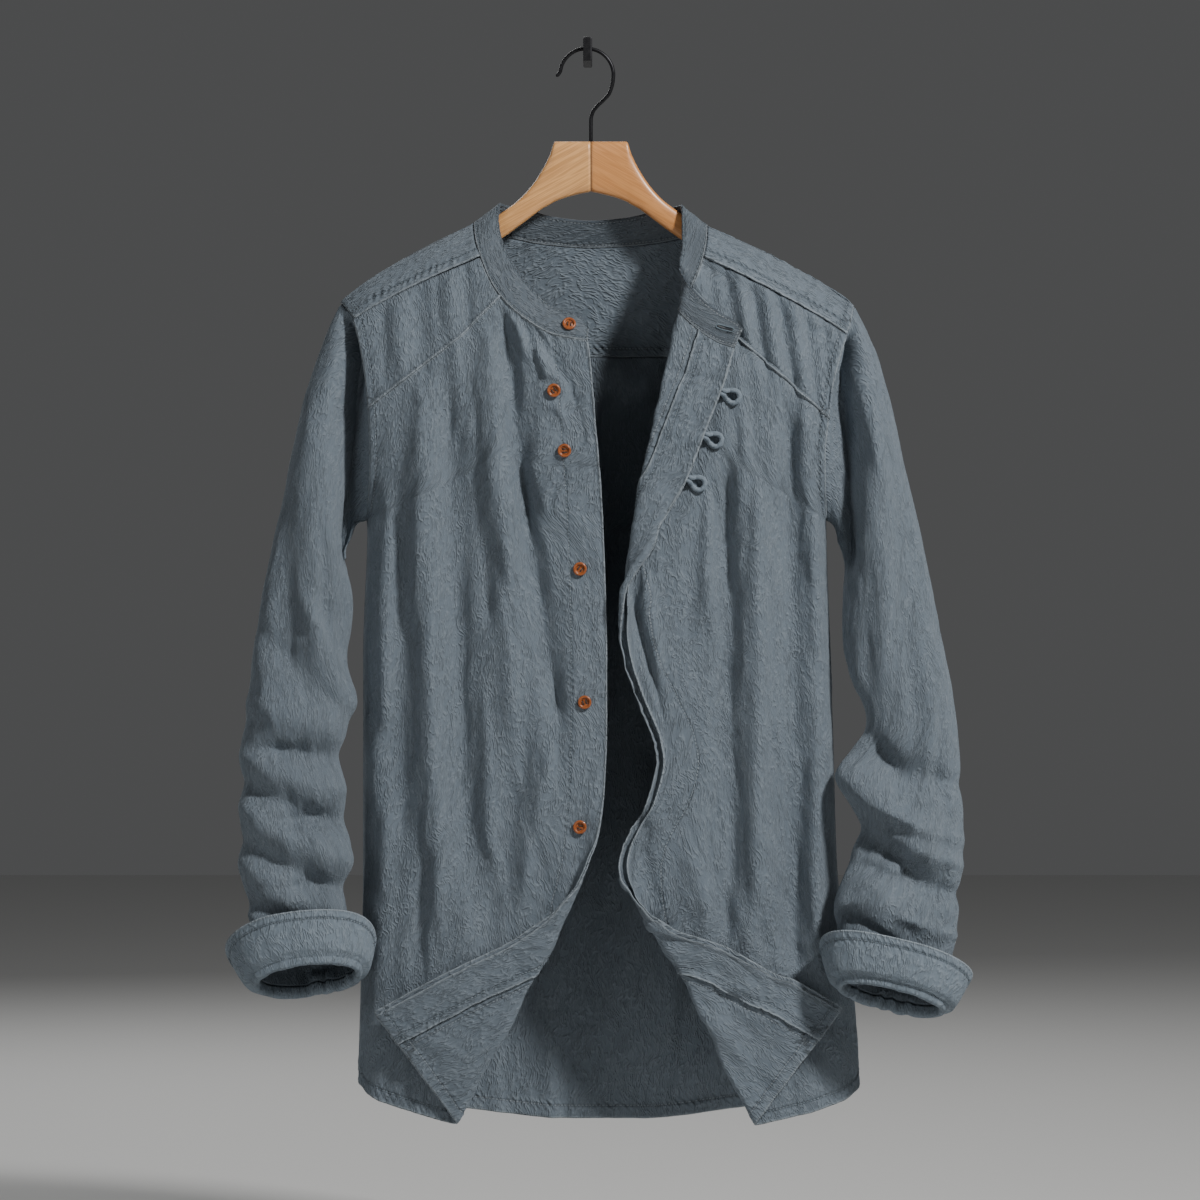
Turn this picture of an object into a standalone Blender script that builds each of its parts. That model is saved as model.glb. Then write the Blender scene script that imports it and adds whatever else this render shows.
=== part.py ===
"""Mandarin collar shirt hanging open on a wooden hanger from a small wall hook.

The wall is the plane y = 0 and the shirt hangs in front of it, towards -Y. The origin is the
middle of the wall hook's back face. Tables and sizes are in millimetres, and the meshes are
in metres. Left and right are the viewer's. The button side is on the left.
"""
import math

import bmesh
import bpy
import numpy as np
from mathutils import Vector
from mathutils.bvhtree import BVHTree

MM = 0.001
COLLECTION = "mandarin_collar_shirt"

# Cloth and gaps
WALL = 1.3
COLLAR_WALL = 1.8
SEAM_GAP = 0.4
EDGE_GAP = 1.1
COLLAR_RAISE = 1.7
SIDE_GAP = 0.35
SLEEVE_GAP = 0.35

# The worn form: a roof over the hanger that fills out to a flat oval body
HANGER_Y = -52.0
FRONT_DEPTH = 50.0
BACK_DEPTH = 40.0
ROOF_DROP = 180.0
OVAL_POWER = 2.6
BODY_MIDDLE_X = 10.0


def table(names, *rows):
    """Named columns, top row first, as one array for each name."""
    return dict(zip(names.split(), np.array(rows, dtype=float).T))


SHOULDER = table("x z", (-260, -262), (-235, -238), (-214.8, -214.5), (-206.6, -205.5),
                 (-188.8, -191.8), (-162.8, -176.3), (-133.5, -160.8), (-96.1, -142.8),
                 (-60, -125), (0, -108), (60, -127), (102.8, -145.8), (140, -162.3),
                 (174.7, -179.6), (200.8, -193.5), (221.6, -207.4), (235.5, -221), (270, -262))
OVAL_SIDE = table("z left right", (-915, -197.5, 233.5), (-873, -196.5, 232.5),
                  (-805, -194.5, 226.9), (-690, -192.1, 213.4), (-600, -192.1, 210.6),
                  (-512, -192.1, 207.8), (-397.8, -188.3, 204.3), (-350, -212, 231),
                  (-300, -232, 252), (-140, -262, 285))
ARMHOLE = table("z left right", (-397.8, -188.3, 204.3), (-344, -185.6, 202.5),
                (-316, -186.2, 205), (-292, -187.8, 207.7), (-264.8, -191.3, 213.8),
                (-240, -196.4, 221.4), (-225, -201.5, 225.6), (-212, -211.5, 228.5))
UNDERARM_Z = -397.8
HEM_FRONT = {
    -1: table("x z", (-196.6, -876), (-192.5, -884.3), (-177.8, -892.5), (-145.4, -902.2),
              (-115.9, -910)),
    1: table("x z", (147.2, -911), (157, -908.7), (189.5, -902.2), (218.8, -892.5),
             (230.2, -882.6), (232.6, -876)),
}
HEM_BACK = table("x z", (-196.6, -876), (-185, -889), (-150, -899), (-103, -905), (-15, -913.6),
                 (45, -913.6), (137, -903), (185, -895), (220, -886), (232.6, -876))
BACK_YOKE_Z = -256.0

# The neck seam from the button side's front end round the back to the loop side, with the
# band's top edge. face is -1 on the front of the shirt and 1 on its back.
NECK = table("seam_x seam_z face top_x top_y top_z",
             (0.2, -245.9, -1, 0.8, -91, -234), (-8, -245, -1, -7.7, -90, -223.5),
             (-29.5, -240.7, -1, -26.1, -88, -217.2), (-49.7, -229.8, -1, -42.9, -85, -204.6),
             (-66.5, -216.3, -1, -58, -81, -186.2), (-80.8, -197.9, -1, -68.2, -75, -169.3),
             (-91.6, -172.6, -1, -74.9, -67, -150.8), (-96, -158, -1, -76, -66, -139),
             (-97.3, -146.5, -1, -75.2, -60.5, -128), (-97.6, -143.4, 1, -74.5, -52, -126),
             (-88, -149, 1, -68, -42, -127.5), (-68, -154, 1, -50, -38, -131),
             (-35, -160, 1, -28, -35, -136.5), (2, -162.4, 1, 2, -34, -139.6),
             (40, -160.5, 1, 33, -35, -137), (74, -156, 1, 56, -38, -132),
             (95, -150.5, 1, 73, -42, -128.5), (102.4, -145.6, 1, 80, -52, -127.5),
             (102.3, -148.5, -1, 80.3, -60.5, -129.5), (101.5, -160, -1, 80.5, -66, -143),
             (97.5, -178, -1, 80.5, -76, -162), (89.5, -197, -1, 78, -88, -178))
YOKE_FIRST, YOKE_LAST = 6, 19.75
YOKE_OUTER = table("share x z face",
                   (0, -198.8, -226, -1), (0.12, -206, -217, -1), (0.17, -209, -213.6, -1),
                   (0.218, -211.2, -210.9, 1), (0.25, -207.5, -216, 1), (0.3, -198.5, -232, 1),
                   (0.34, -192.5, -256, 1), (0.42, -128, -256, 1), (0.51, 2, -256, 1),
                   (0.6, 132, -256, 1), (0.68, 216.2, -256, 1), (0.72, 221, -240, 1),
                   (0.76, 225.3, -224, 1), (0.8, 228, -213.6, 1), (0.84, 227, -218, -1),
                   (0.9, 224.6, -229, -1), (1, 221.2, -239.4, -1))
NECK_BREAK = {-1: (-74.0, -208.0), 1: (86.5, -203.0)}

# The band's turned-out end: its top edge, with back as how far it lies behind the seam below
# it, and how far the turned-out front's top row sags between its two ends
TURNED_TOP = table("x back z",
                   (78.3, 3, -182.5), (80.2, 1, -188), (84.3, 0, -195), (90, -1, -202.5),
                   (98, -1, -211), (109, 1, -220), (120.5, 3, -226.5), (132.7, 4, -233.2))
TURNED_SAG = 7.0

# Rows of the fronts from the neck to the hem. turn_x and turn_z are where the cloth starts to
# turn outward, turn is how far it turns in degrees, beyond is the cloth's length past that
# place, radius is that of the roll and slope is the row's own slope there in degrees.
TURN_ROWS = {
    -1: table("turn_x turn_z turn beyond radius slope",
              (-17.6, -242.9, 0, 18, 40, -9), (-15, -268, 0, 18, 40, 0),
              (-10.8, -318, 0, 18, 40, 0), (-4.8, -398, 0, 18, 40, 0),
              (-1.4, -512, 0, 18, 40, 0), (-1.4, -567, 0, 18, 40, 0),
              (-3.1, -621, 0, 18, 40, 0), (-6, -655, 22, 18, 30, 0),
              (-9.5, -685, 75, 18, 12, 0), (-14, -709, 130, 17, 7, 0),
              (-23.5, -735, 170, 21, 4.6, 0), (-45, -777, 180, 39.5, 3.6, 0),
              (-81.5, -847, 180, 86, 3.6, 1.5), (-115.9, -910, 180, 125.2, 3.6, 4.5)),
    1: table("turn_x turn_z turn beyond radius slope",
             (81.5, -216, 180, 66.8, 3.6, 9.5), (73, -252, 180, 62.7, 3.6, 2),
             (60.9, -307, 180, 53.7, 3.6, 0), (52.4, -350, 180, 46, 3.6, 0),
             (43, -401.5, 172, 29.7, 4, 0), (39, -445, 138, 18, 6.5, 0),
             (44, -478, 80, 16, 11, 0), (49, -506, 35, 16, 24, 0),
             (62.3, -546, 0, 16, 40, 0), (77.6, -585, 0, 16, 40, 0),
             (80.2, -604, 0, 16, 40, 0), (71.7, -638, 0, 16, 40, 0),
             (59.8, -659, 0, 16, 40, 0), (51.3, -678, 0, 16, 40, 0),
             (48.5, -695, 20, 16, 30, 0), (49, -713, 75, 16, 12, 0),
             (56.5, -735, 132, 20, 7, 0), (69, -758, 172, 26.5, 4.4, 0),
             (95, -806.5, 180, 62.8, 3.6, 0.8), (116, -855, 180, 98, 3.6, 2.5),
             (147.2, -911, 180, 131.8, 3.6, 6)),
}
FRONT_TOP_Z = {-1: -303.0, 1: -312.0}
SIDE_CORNER_Z = -876.0
FACING_WIDTH = 36.0
FACING_OUT = 2.4
FACING_EDGE = 0.6
FRONT_ROWS = 27
MAIN_COLUMNS = 12
ROLL_COLUMNS = 5

# Soft folds: a trough has a depth below 0 and a ridge one above 0
FRONT_FOLDS = {
    -1: table("x1 z1 x2 z2 width depth",
              (-68, -246, -52, -380, 8, -6), (-52, -380, -27, -545, 9, -5),
              (-82, -262, -66, -430, 9, 3), (-115, -330, -100, -690, 14, -5),
              (-134, -380, -128, -700, 12, 3), (-156, -430, -155, -640, 13, -3),
              (-40, -262, -24, -305, 5, 2.5), (-60, -620, -92, -840, 16, -4)),
    1: table("x1 z1 x2 z2 width depth",
             (124, -432, 124, -735, 13, -6), (101, -500, 104, -690, 8, -3),
             (145, -400, 142, -760, 11, 4),
             (170, -330, 172, -600, 13, -3), (192, -420, 196, -800, 10, 3),
             (150, -760, 176, -890, 14, -4)),
}
BACK_FOLDS = table("x1 z1 x2 z2 width depth",
                   (-120, -300, -112, -700, 15, -6), (-84, -380, -80, -800, 13, 4),
                   (-40, -290, -30, -640, 14, -5), (2, -420, 6, -860, 16, 4),
                   (52, -300, 44, -720, 14, -6), (92, -400, 96, -820, 13, 4),
                   (138, -330, 128, -690, 15, -5), (170, -560, 178, -840, 13, 3))
CHEST_GATHERS = {
    -1: table("x1 z1 x2 z2 width depth",
              (-150, -206, -146, -262, 8, -2), (-122, -192, -116, -240, 8, -1.6)),
    1: table("x1 z1 x2 z2 width depth",
             (118, -192, 126, -240, 6, -2), (141, -204, 150, -262, 6, -2.2),
             (164, -214, 174, -276, 6, -2), (187, -226, 194, -290, 6, -1.8)),
}

# Sleeve rings from the armhole to the wrist: the outer and the inner end of each, the middle
# of its depth and half its depth
SLEEVE_RINGS = {
    -1: table("outer_x outer_z inner_x inner_z middle_y half_depth",
              (-211.5, -212, -188.3, -397, -52, 33), (-221, -232, -191.5, -402, -53, 33),
              (-233, -262, -194, -413, -54, 33), (-243, -294, -197, -426, -56, 33),
              (-253.7, -341, -199.5, -444, -58, 33), (-265.6, -395, -201, -466, -61, 33),
              (-274.5, -445, -203.5, -490, -64, 32), (-283.1, -503, -208.3, -520, -68, 32),
              (-289.8, -563, -199.6, -555, -74, 31), (-294.8, -593, -208, -580, -78, 30),
              (-295, -629, -208, -620, -84, 30), (-295.8, -657, -203, -655, -90, 30),
              (-294.8, -690, -201.5, -687, -94, 29), (-291, -714, -205, -712, -98, 27),
              (-287, -736, -207, -728, -102, 25), (-283, -757, -200, -745, -105, 23),
              (-280, -780, -194, -770, -109, 22)),
    1: table("outer_x outer_z inner_x inner_z middle_y half_depth",
             (228.5, -214, 204.3, -397, -52, 33), (239, -235, 208, -402, -53, 33),
             (250, -262, 211, -414, -54, 33), (259.7, -299, 214, -428, -56, 33),
             (269.9, -342, 217, -446, -59, 33), (283.5, -406, 218.5, -470, -63, 33),
             (295.4, -466, 219, -496, -68, 32), (306.4, -517, 222, -526, -73, 31),
             (313.5, -565, 236, -566, -79, 29), (316.5, -613, 215, -612, -87, 30),
             (317.5, -649, 229, -650, -92, 28), (315.5, -697, 221, -690, -98, 27),
             (313, -722, 213, -716, -102, 25), (311.5, -738, 211, -734, -105, 23),
             (309, -760, 213, -758, -108, 22), (307, -790, 214, -778, -112, 21)),
}
SLEEVE_FOLDS = {
    -1: table("x1 z1 x2 z2 width depth",
              (-238, -580, -206, -592, 8, -5), (-243, -601, -209, -625, 7, 6),
              (-268, -622, -214, -624, 8, -7), (-258, -648, -210, -636, 9, 6),
              (-262, -662, -206, -654, 7, -6), (-244, -661, -203, -685, 7, 6),
              (-262, -684, -220, -670, 7, -7), (-270, -691, -212, -691, 8, 6),
              (-283, -718, -232, -716, 7, -7), (-243, -712, -207, -727, 7, 5),
              (-262, -380, -252, -540, 12, -4), (-236, -330, -232, -520, 12, 3),
              (-201, -236, -199, -400, 9, -9)),
    1: table("x1 z1 x2 z2 width depth",
             (219, -560, 252, -594, 9, -8), (246, -600, 294, -612, 8, -6),
             (219, -625, 269, -641, 8, 7), (232, -670, 262, -686, 7, -8),
             (226, -652, 266, -661, 7, 5), (246, -700, 306, -708, 8, -7),
             (227, -719, 257, -745, 7, 6), (290, -640, 300, -760, 10, -4),
             (268, -360, 276, -540, 12, -3), (246, -330, 250, -500, 12, 3),
             (218, -246, 212, -400, 9, -9)),
}

# Turned-up cuffs: the mouth's middle, its lean towards the viewer, its roll, and the half
# width and half depth of mouth and rim
CUFF = {
    -1: dict(middle=(-236.5, -122.0, -785.0), lean=40.0, roll=7.0, mouth=(46.0, 25.0),
             rim=(63.0, 49.5), height=36.0, rim_shift=-2.0),
    1: dict(middle=(256.0, -127.0, -801.0), lean=28.0, roll=-14.0, mouth=(47.0, 25.0),
            rim=(65.0, 46.0), height=35.0, rim_shift=-4.0),
}
CUFF_FOLD_RADIUS = 2.6
CUFF_INNER_LIP = 7.0

# Buttons: place on the cloth
BUTTON_DIAMETER = 12.2
BUTTON_THICKNESS = 2.6
BUTTON_HOLE = 1.5
BUTTON_HOLE_PITCH = 2.9
BUTTON_SEAT = 0.45
BUTTONS = table("x z", (-15.7, -232), (-28.5, -288.2), (-19.6, -339.2), (-6.4, -439.5),
                (-2.4, -552.5), (-6.4, -658.3))

# Button loops: the root's place down the loop side's free edge and each eye's size
LOOP_CORD = 3.6
LOOP_GAP = -0.3
LOOPS = table("z length height", (-289.5, 17, 13.5), (-326.5, 16, 13.5), (-363, 16, 13.5))

# Hanger
WOOD_THICKNESS = 12.0
WOOD_TOP_X = 2.7
WOOD = table("x top bottom", (2.8, -73, -115.9), (20, -73, -119.8), (33.2, -73, -124.5),
             (37.5, -84, -127), (44, -97, -130.5), (54, -112, -138), (66, -124.5, -147),
             (80, -134.6, -157), (98, -146.6, -168), (135, -163.2, -184.5),
             (170, -180.4, -199), (188, -190.6, -206), (194, -195.5, -203.5))
WOOD_UNDER_RIDGE = 3.6
WOOD_ARM_FROM = 98.0
WIRE_RADIUS = 1.6
WIRE_ARC_RADIUS = 23.0
WIRE_ARC_MIDDLE = (-0.85, -16.2)
WIRE_STEM_X = 2.8
WIRE_NECK = table("x z", (21.2, -26.5), (18.6, -31.5), (13.6, -37.4), (8.2, -42.6),
                  (4.3, -48), (2.9, -54), (2.8, -62), (2.8, -72.6))

# Wall hook
HOOK_WIDTH = 7.6
HOOK_LOW = -4.6
HOOK_REACH = -61.0
HOOK_LIP_TOP = 16.0
HOOK_LIP_THICKNESS = 5.2
TOUCH = 0.3

MATERIALS = {
    "cloth": ((0.13, 0.185, 0.235), 0.9, 0.0),
    "wood": ((0.62, 0.32, 0.12), 0.45, 0.0),
    "button": ((0.42, 0.12, 0.02), 0.3, 0.0),
    "black_metal": ((0.02, 0.02, 0.022), 0.4, 0.9),
}


def smooth(at, xs, ys):
    """Cubic through the points with no overshoot, held level beyond the ends."""
    if xs[0] > xs[-1]:
        xs, ys = xs[::-1], ys[::-1]
    step = np.diff(xs)
    rise = np.diff(ys) / step
    same = rise[:-1] * rise[1:] > 0
    total = np.where(same, rise[:-1] + rise[1:], 1.0)
    inner = np.where(same, 2 * rise[:-1] * rise[1:] / total, 0.0)
    slope = np.concatenate(([rise[0]], inner, [rise[-1]]))
    at = np.clip(at, xs[0], xs[-1])
    k = np.clip(np.searchsorted(xs, at) - 1, 0, len(step) - 1)
    s = (at - xs[k]) / step[k]
    start = ys[k] * (1 + 2 * s) * (1 - s) ** 2 + slope[k] * step[k] * s * (1 - s) ** 2
    end = ys[k + 1] * s * s * (3 - 2 * s) + slope[k + 1] * step[k] * s * s * (s - 1)
    return start + end


def along(columns, names, share):
    """The named columns read at a share from 0 to 1 of the way down the table's rows."""
    first = columns[names.split()[0]]
    knots = np.linspace(0, 1, len(first))
    return [smooth(share, knots, columns[name]) for name in names.split()]


def mix(a, b, share):
    return a + (b - a) * share


def shoulder_z(x):
    return smooth(x, SHOULDER["x"], SHOULDER["z"])


def oval_share(x, z):
    """1 in the body's middle, falling to 0 at the sides of its flat oval section."""
    left = smooth(z, OVAL_SIDE["z"], OVAL_SIDE["left"])
    right = smooth(z, OVAL_SIDE["z"], OVAL_SIDE["right"])
    reach = np.where(x < BODY_MIDDLE_X, BODY_MIDDLE_X - left, right - BODY_MIDDLE_X)
    off = np.clip(np.abs(x - BODY_MIDDLE_X) / reach, 0, 1)
    return (1 - off ** OVAL_POWER) ** (1 / OVAL_POWER)


def body_y(x, z, face):
    """The worn form's depth at a place, on its front (-1) or its back (1)."""
    drop = np.clip(shoulder_z(x) - z, 0, ROOF_DROP)
    roof = np.sqrt(1 - (1 - drop / ROOF_DROP) ** 2)
    depth = np.where(face < 0, FRONT_DEPTH, BACK_DEPTH)
    return HANGER_Y + face * (depth * roof * oval_share(x, z) + SIDE_GAP)


def over_shoulder(x, turn):
    """A point of the worn form from how far round the shoulder it is: 0 is the top."""
    z = shoulder_z(x) - ROOF_DROP * (1 - np.cos(turn))
    depth = np.where(turn < 0, FRONT_DEPTH, BACK_DEPTH)
    y = HANGER_Y + depth * np.sin(turn) * oval_share(x, z)
    return np.stack([x, y, z], axis=-1)


def turn_at(x, z, face):
    drop = np.clip(shoulder_z(x) - z, 0, ROOF_DROP)
    return face * np.arccos(1 - drop / ROOF_DROP)


def body_edge_x(z, side):
    """The armhole seam above the underarm and the side seam below it."""
    name = "left" if side < 0 else "right"
    arm = smooth(z, ARMHOLE["z"], ARMHOLE[name])
    return np.where(z > UNDERARM_Z, arm, smooth(z, OVAL_SIDE["z"], OVAL_SIDE[name]))


def relief(x, z, folds):
    """Height of the soft folds: each is a bell across its line that fades at both ends."""
    height = np.zeros_like(x)
    for x1, z1, x2, z2, width, depth in zip(*folds.values()):
        length = math.hypot(x2 - x1, z2 - z1)
        ux, uz = (x2 - x1) / length, (z2 - z1) / length
        run = (x - x1) * ux + (z - z1) * uz
        off = (x - x1) * uz - (z - z1) * ux
        beyond = np.maximum(np.maximum(-run, run - length), 0)
        height += depth * np.exp(-(off / width) ** 2 - (beyond / (1.6 * width)) ** 2)
    return height


def polyline(points, share):
    """Points at a share of the way along a line of points, by length."""
    points = np.asarray(points, dtype=float)
    knots = np.concatenate(([0], np.cumsum(np.linalg.norm(np.diff(points, axis=0), axis=1))))
    knots = knots / knots[-1]
    return np.stack([np.interp(share, knots, column) for column in points.T], axis=-1)


def neck_seam(first, last, count):
    """The neck seam's x, z and face between two stations, evenly by station."""
    at = np.linspace(first, last, count)
    stations = np.arange(len(NECK["face"]))
    x = smooth(at, stations, NECK["seam_x"])
    z = smooth(at, stations, NECK["seam_z"])
    face = np.where(np.interp(at, stations, NECK["face"]) < 0, -1, 1)
    return x, z, face


def diagonal_seam(side, share):
    """The seam under the chest panel, from the armhole up to the neck."""
    top = FRONT_TOP_Z[side]
    start = (float(body_edge_x(np.array(top), side)), top)
    middle = {-1: (-141.5, -268.2), 1: (158.1, -269.8)}[side]
    upper = {-1: (-109.2, -243.8), 1: (132.1, -248.1)}[side]
    return polyline([start, middle, upper, NECK_BREAK[side]], share)


def front_neck(side, share):
    """The neck seam from where the diagonal seam meets it to where the front turns."""
    rows = TURN_ROWS[side]
    end = (rows["turn_x"][0], rows["turn_z"][0])
    if side < 0:
        points = [NECK_BREAK[side], (-66.5, -216.3), (-49.7, -229.8), (-29.5, -240.7), end]
    else:
        points = [NECK_BREAK[side], (84.5, -209), end]
    return polyline(points, share)


def front_top(side, share):
    """The front's top edge: up the diagonal seam, then down the neck seam."""
    corner = 0.62 if side < 0 else 0.86
    first = diagonal_seam(side, np.clip(share / corner, 0, 1))
    second = front_neck(side, np.clip((share - corner) / (1 - corner), 0, 1))
    return np.where((share < corner)[..., None], first, second)


def front_flat(side, down, across):
    """The front's x and z between its outer edge (across 0) and where it turns (across 1).

    The rows start as the bent top edge and end as the hem, and are straight between them.
    """
    rows = TURN_ROWS[side]
    turn_x, turn_z = along(rows, "turn_x turn_z", down)
    edge_z = np.interp(turn_z, (rows["turn_z"][-1], rows["turn_z"][0]),
                       (SIDE_CORNER_Z, FRONT_TOP_Z[side]))
    edge_x = body_edge_x(edge_z, side)
    top = front_top(side, across)
    hem = HEM_FRONT[side]
    order = slice(None) if side < 0 else slice(None, None, -1)
    low = polyline(np.stack([hem["x"][order], hem["z"][order]], axis=-1), across)
    top_start, top_end = front_top(side, np.array([0.0, 1.0]))
    straight_top = mix(top_start, top_end, across[..., None])
    straight_low = mix(low_end(side, 0), low_end(side, 1), across[..., None])
    edge = np.stack([edge_x, edge_z], axis=-1)
    turn = np.stack([turn_x, turn_z], axis=-1)
    flat = mix(edge, turn, across[..., None])
    flat = flat + (top - straight_top) * ((1 - down) ** 3)[..., None]
    return flat + (low - straight_low) * (down ** 6)[..., None]


def low_end(side, which):
    hem = HEM_FRONT[side]
    last = which if side < 0 else 1 - which
    return np.array([hem["x"][-last], hem["z"][-last]])


def front_surface(side, down, reach):
    """A point of a front from how far down it is and its distance past the turning line.

    reach is below 0 between the outer edge and the turning line, as a share of that width
    (-1 at the edge), and above 0 it is the distance in millimetres past the line. Past the
    line the cloth goes round a roll and then straight on, turned by the row's angle, while
    its distance along the line itself stays as it was, so the cloth is bent and not stretched.
    """
    rows = TURN_ROWS[side]
    across = np.clip(1 + reach, 0, 1)
    flat = front_flat(side, down, across)
    past = np.maximum(reach, 0)
    step = 0.004
    above = front_flat(side, np.clip(down - step, 0, 1), np.ones_like(down))
    below = front_flat(side, np.clip(down + step, 0, 1), np.ones_like(down))
    line = below - above
    line = line / np.linalg.norm(line, axis=-1, keepdims=True)
    square = np.stack([-line[..., 1], line[..., 0]], axis=-1) * -side
    turn, radius, slope = along(rows, "turn radius slope", down)
    turn, slope = np.radians(turn), np.radians(slope)
    heading = np.stack([-side * np.cos(slope), -np.sin(np.abs(slope))], axis=-1)
    with_line = np.sum(heading * line, axis=-1)
    off_line = np.sum(heading * square, axis=-1)
    arc = np.minimum(past * off_line, turn * radius)
    angle = arc / radius
    rest = past * off_line - arc
    sideways = radius * np.sin(angle) + rest * np.cos(turn)
    out = radius * (1 - np.cos(angle)) + rest * np.sin(turn)
    flat = flat + line * (past * with_line)[..., None] + square * sideways[..., None]
    x, z = flat[..., 0], flat[..., 1]
    if side > 0:
        width = past / along(rows, "beyond", down)[0]
        z = z - TURNED_SAG * 4 * width * (1 - width).clip(0) * np.clip(1 - down / 0.12, 0, 1)
    here = body_y(x, z, -1)
    fold_y = body_y(flat[..., 0] * 0 + along(rows, "turn_x", down)[0], z, -1)
    turned = np.clip(rest / 40, 0, 1) * np.clip(turn / math.pi, 0, 1)
    y = mix(here, mix(here, fold_y, 0.45), turned) - out
    soft = 1 - np.clip(past / 8, 0, 1) * 0.8
    y = y - relief(x, z, FRONT_FOLDS[side]) * soft * np.clip((1 - down) * 12, 0.35, 1)
    return np.stack([x, y, z], axis=-1)


def unit(vectors):
    return vectors / np.linalg.norm(vectors, axis=-1, keepdims=True)


def grid_normals(points):
    """Unit normals of a grid of points: each direction is the mean of the steps beside it."""
    ways = []
    for axis in (0, 1):
        steps = unit(np.diff(points, axis=axis))
        first = np.take(steps, [0], axis=axis)
        last = np.take(steps, [-1], axis=axis)
        ways.append(unit(np.concatenate([first, steps], axis=axis)
                         + np.concatenate([steps, last], axis=axis)))
    return unit(np.cross(ways[0], ways[1]))


def inset(count, length, gap=SEAM_GAP):
    """Shares from 0 to 1, evenly spaced, drawn in at both ends by a gap."""
    return np.linspace(gap / length, 1 - gap / length, count)


def material(name):
    """A Principled material in one of the shirt's plain colours."""
    colour, roughness, metallic = MATERIALS[name]
    made = bpy.data.materials.new(name)
    made.use_nodes = True
    shader = made.node_tree.nodes["Principled BSDF"]
    shader.inputs["Base Color"].default_value = (*colour, 1)
    shader.inputs["Roughness"].default_value = roughness
    shader.inputs["Metallic"].default_value = metallic
    return made


def add_object(name, mesh, finish):
    """Put a mesh in the shirt's collection under its own name, with a material of its own."""
    made = bpy.data.objects.new(name, mesh)
    mesh.materials.clear()
    mesh.materials.append(material(finish))
    bpy.data.collections[COLLECTION].objects.link(made)
    return made


def grid_mesh(name, points, closed_across=False, keep=None):
    """A mesh of quads over a grid of points in millimetres, or over those marked to keep."""
    down, across = points.shape[:2]
    index = np.arange(down * across).reshape(down, across)
    if closed_across:
        index = np.concatenate([index, index[:, :1]], axis=1)
    quads = np.stack([index[:-1, :-1], index[1:, :-1], index[1:, 1:], index[:-1, 1:]], axis=-1)
    quads = quads.reshape(-1, 4) if keep is None else quads[keep]
    mesh = bpy.data.meshes.new(name)
    mesh.from_pydata((points.reshape(-1, 3) * MM).tolist(), [], quads.tolist())
    bm = bmesh.new()
    bm.from_mesh(mesh)
    bmesh.ops.remove_doubles(bm, verts=bm.verts, dist=0.01 * MM)
    bmesh.ops.delete(bm, geom=[v for v in bm.verts if not v.link_faces], context="VERTS")
    bm.to_mesh(mesh)
    bm.free()
    return mesh


def cloth_object(name, points, wall=WALL, closed_across=False, keep=None):
    """An open cloth surface, given its wall by Solidify."""
    made = add_object(name, grid_mesh(name, points, closed_across, keep), "cloth")
    solid = made.modifiers.new("wall", "SOLIDIFY")
    solid.thickness = wall * MM
    solid.offset = 0
    made.data.shade_smooth()


def build_front(side, name):
    """One front, with the cloth past its turning line in columns close together."""
    down = inset(FRONT_ROWS, 660)[:, None]
    even = np.arange(MAIN_COLUMNS) / MAIN_COLUMNS
    across = mix(even ** 1.5, even * even * (3 - 2 * even), 0.6)[None, :]
    edge_cut = np.where(front_flat(side, down, across * 0)[..., 1] > UNDERARM_Z, 0.004, 0.0)
    main = mix(edge_cut, 1.0, across) - 1
    beyond = along(TURN_ROWS[side], "beyond", down)[0]
    turn, radius = along(TURN_ROWS[side], "turn radius", down)
    roll = np.minimum(np.radians(turn) * radius * 1.15, beyond * 0.6)
    roll = np.where(turn < 30, beyond * 0.6, roll)
    past = np.concatenate([roll * share for share in np.linspace(0, 1, ROLL_COLUMNS)]
                          + [mix(roll, beyond, share) for share in (1 / 3, 2 / 3, 1)], axis=1)
    reach = np.concatenate([main + past[:, :1] * 0, past], axis=1)
    points = front_surface(side, np.broadcast_to(down, reach.shape), reach)
    cloth_object(name, points)
    return points


def build_facing(side, name, front):
    """The strip along the opening edge: the front's own points, moved out on its wrong side.

    Columns that lie past the strip's width are drawn back to its inner edge and merged there.
    The inner edge never lies on the roll: it steps across it along a row.
    """
    steps = np.linalg.norm(np.diff(front, axis=1), axis=-1)
    from_edge = np.cumsum(np.hstack([steps, np.zeros((len(front), 1))])[:, ::-1], axis=1)[:, ::-1]
    columns = np.arange(front.shape[1])
    moved = front + grid_normals(front) * side * FACING_OUT
    roll_end = MAIN_COLUMNS + ROLL_COLUMNS - 1
    rows, inner_edge = [], []
    for points, distance in zip(moved, from_edge):
        inner = np.interp(-FACING_WIDTH, -distance, columns)
        if MAIN_COLUMNS < inner < roll_end + 0.5:
            inner = MAIN_COLUMNS
        at = np.clip(columns, inner, np.interp(-FACING_EDGE, -distance, columns))
        rows.append(np.stack([np.interp(at, columns, axis) for axis in points.T], axis=-1))
        inner_edge.append(inner)
    inner_edge = np.array(inner_edge)[:, None]
    drawn_back = columns[None, 1:] <= inner_edge
    on_roll = (columns[:-1] >= MAIN_COLUMNS) & (columns[:-1] < roll_end)
    keep = ~((drawn_back[:-1] | drawn_back[1:]) & on_roll)
    cloth_object(name, np.array(rows), keep=keep)


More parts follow.
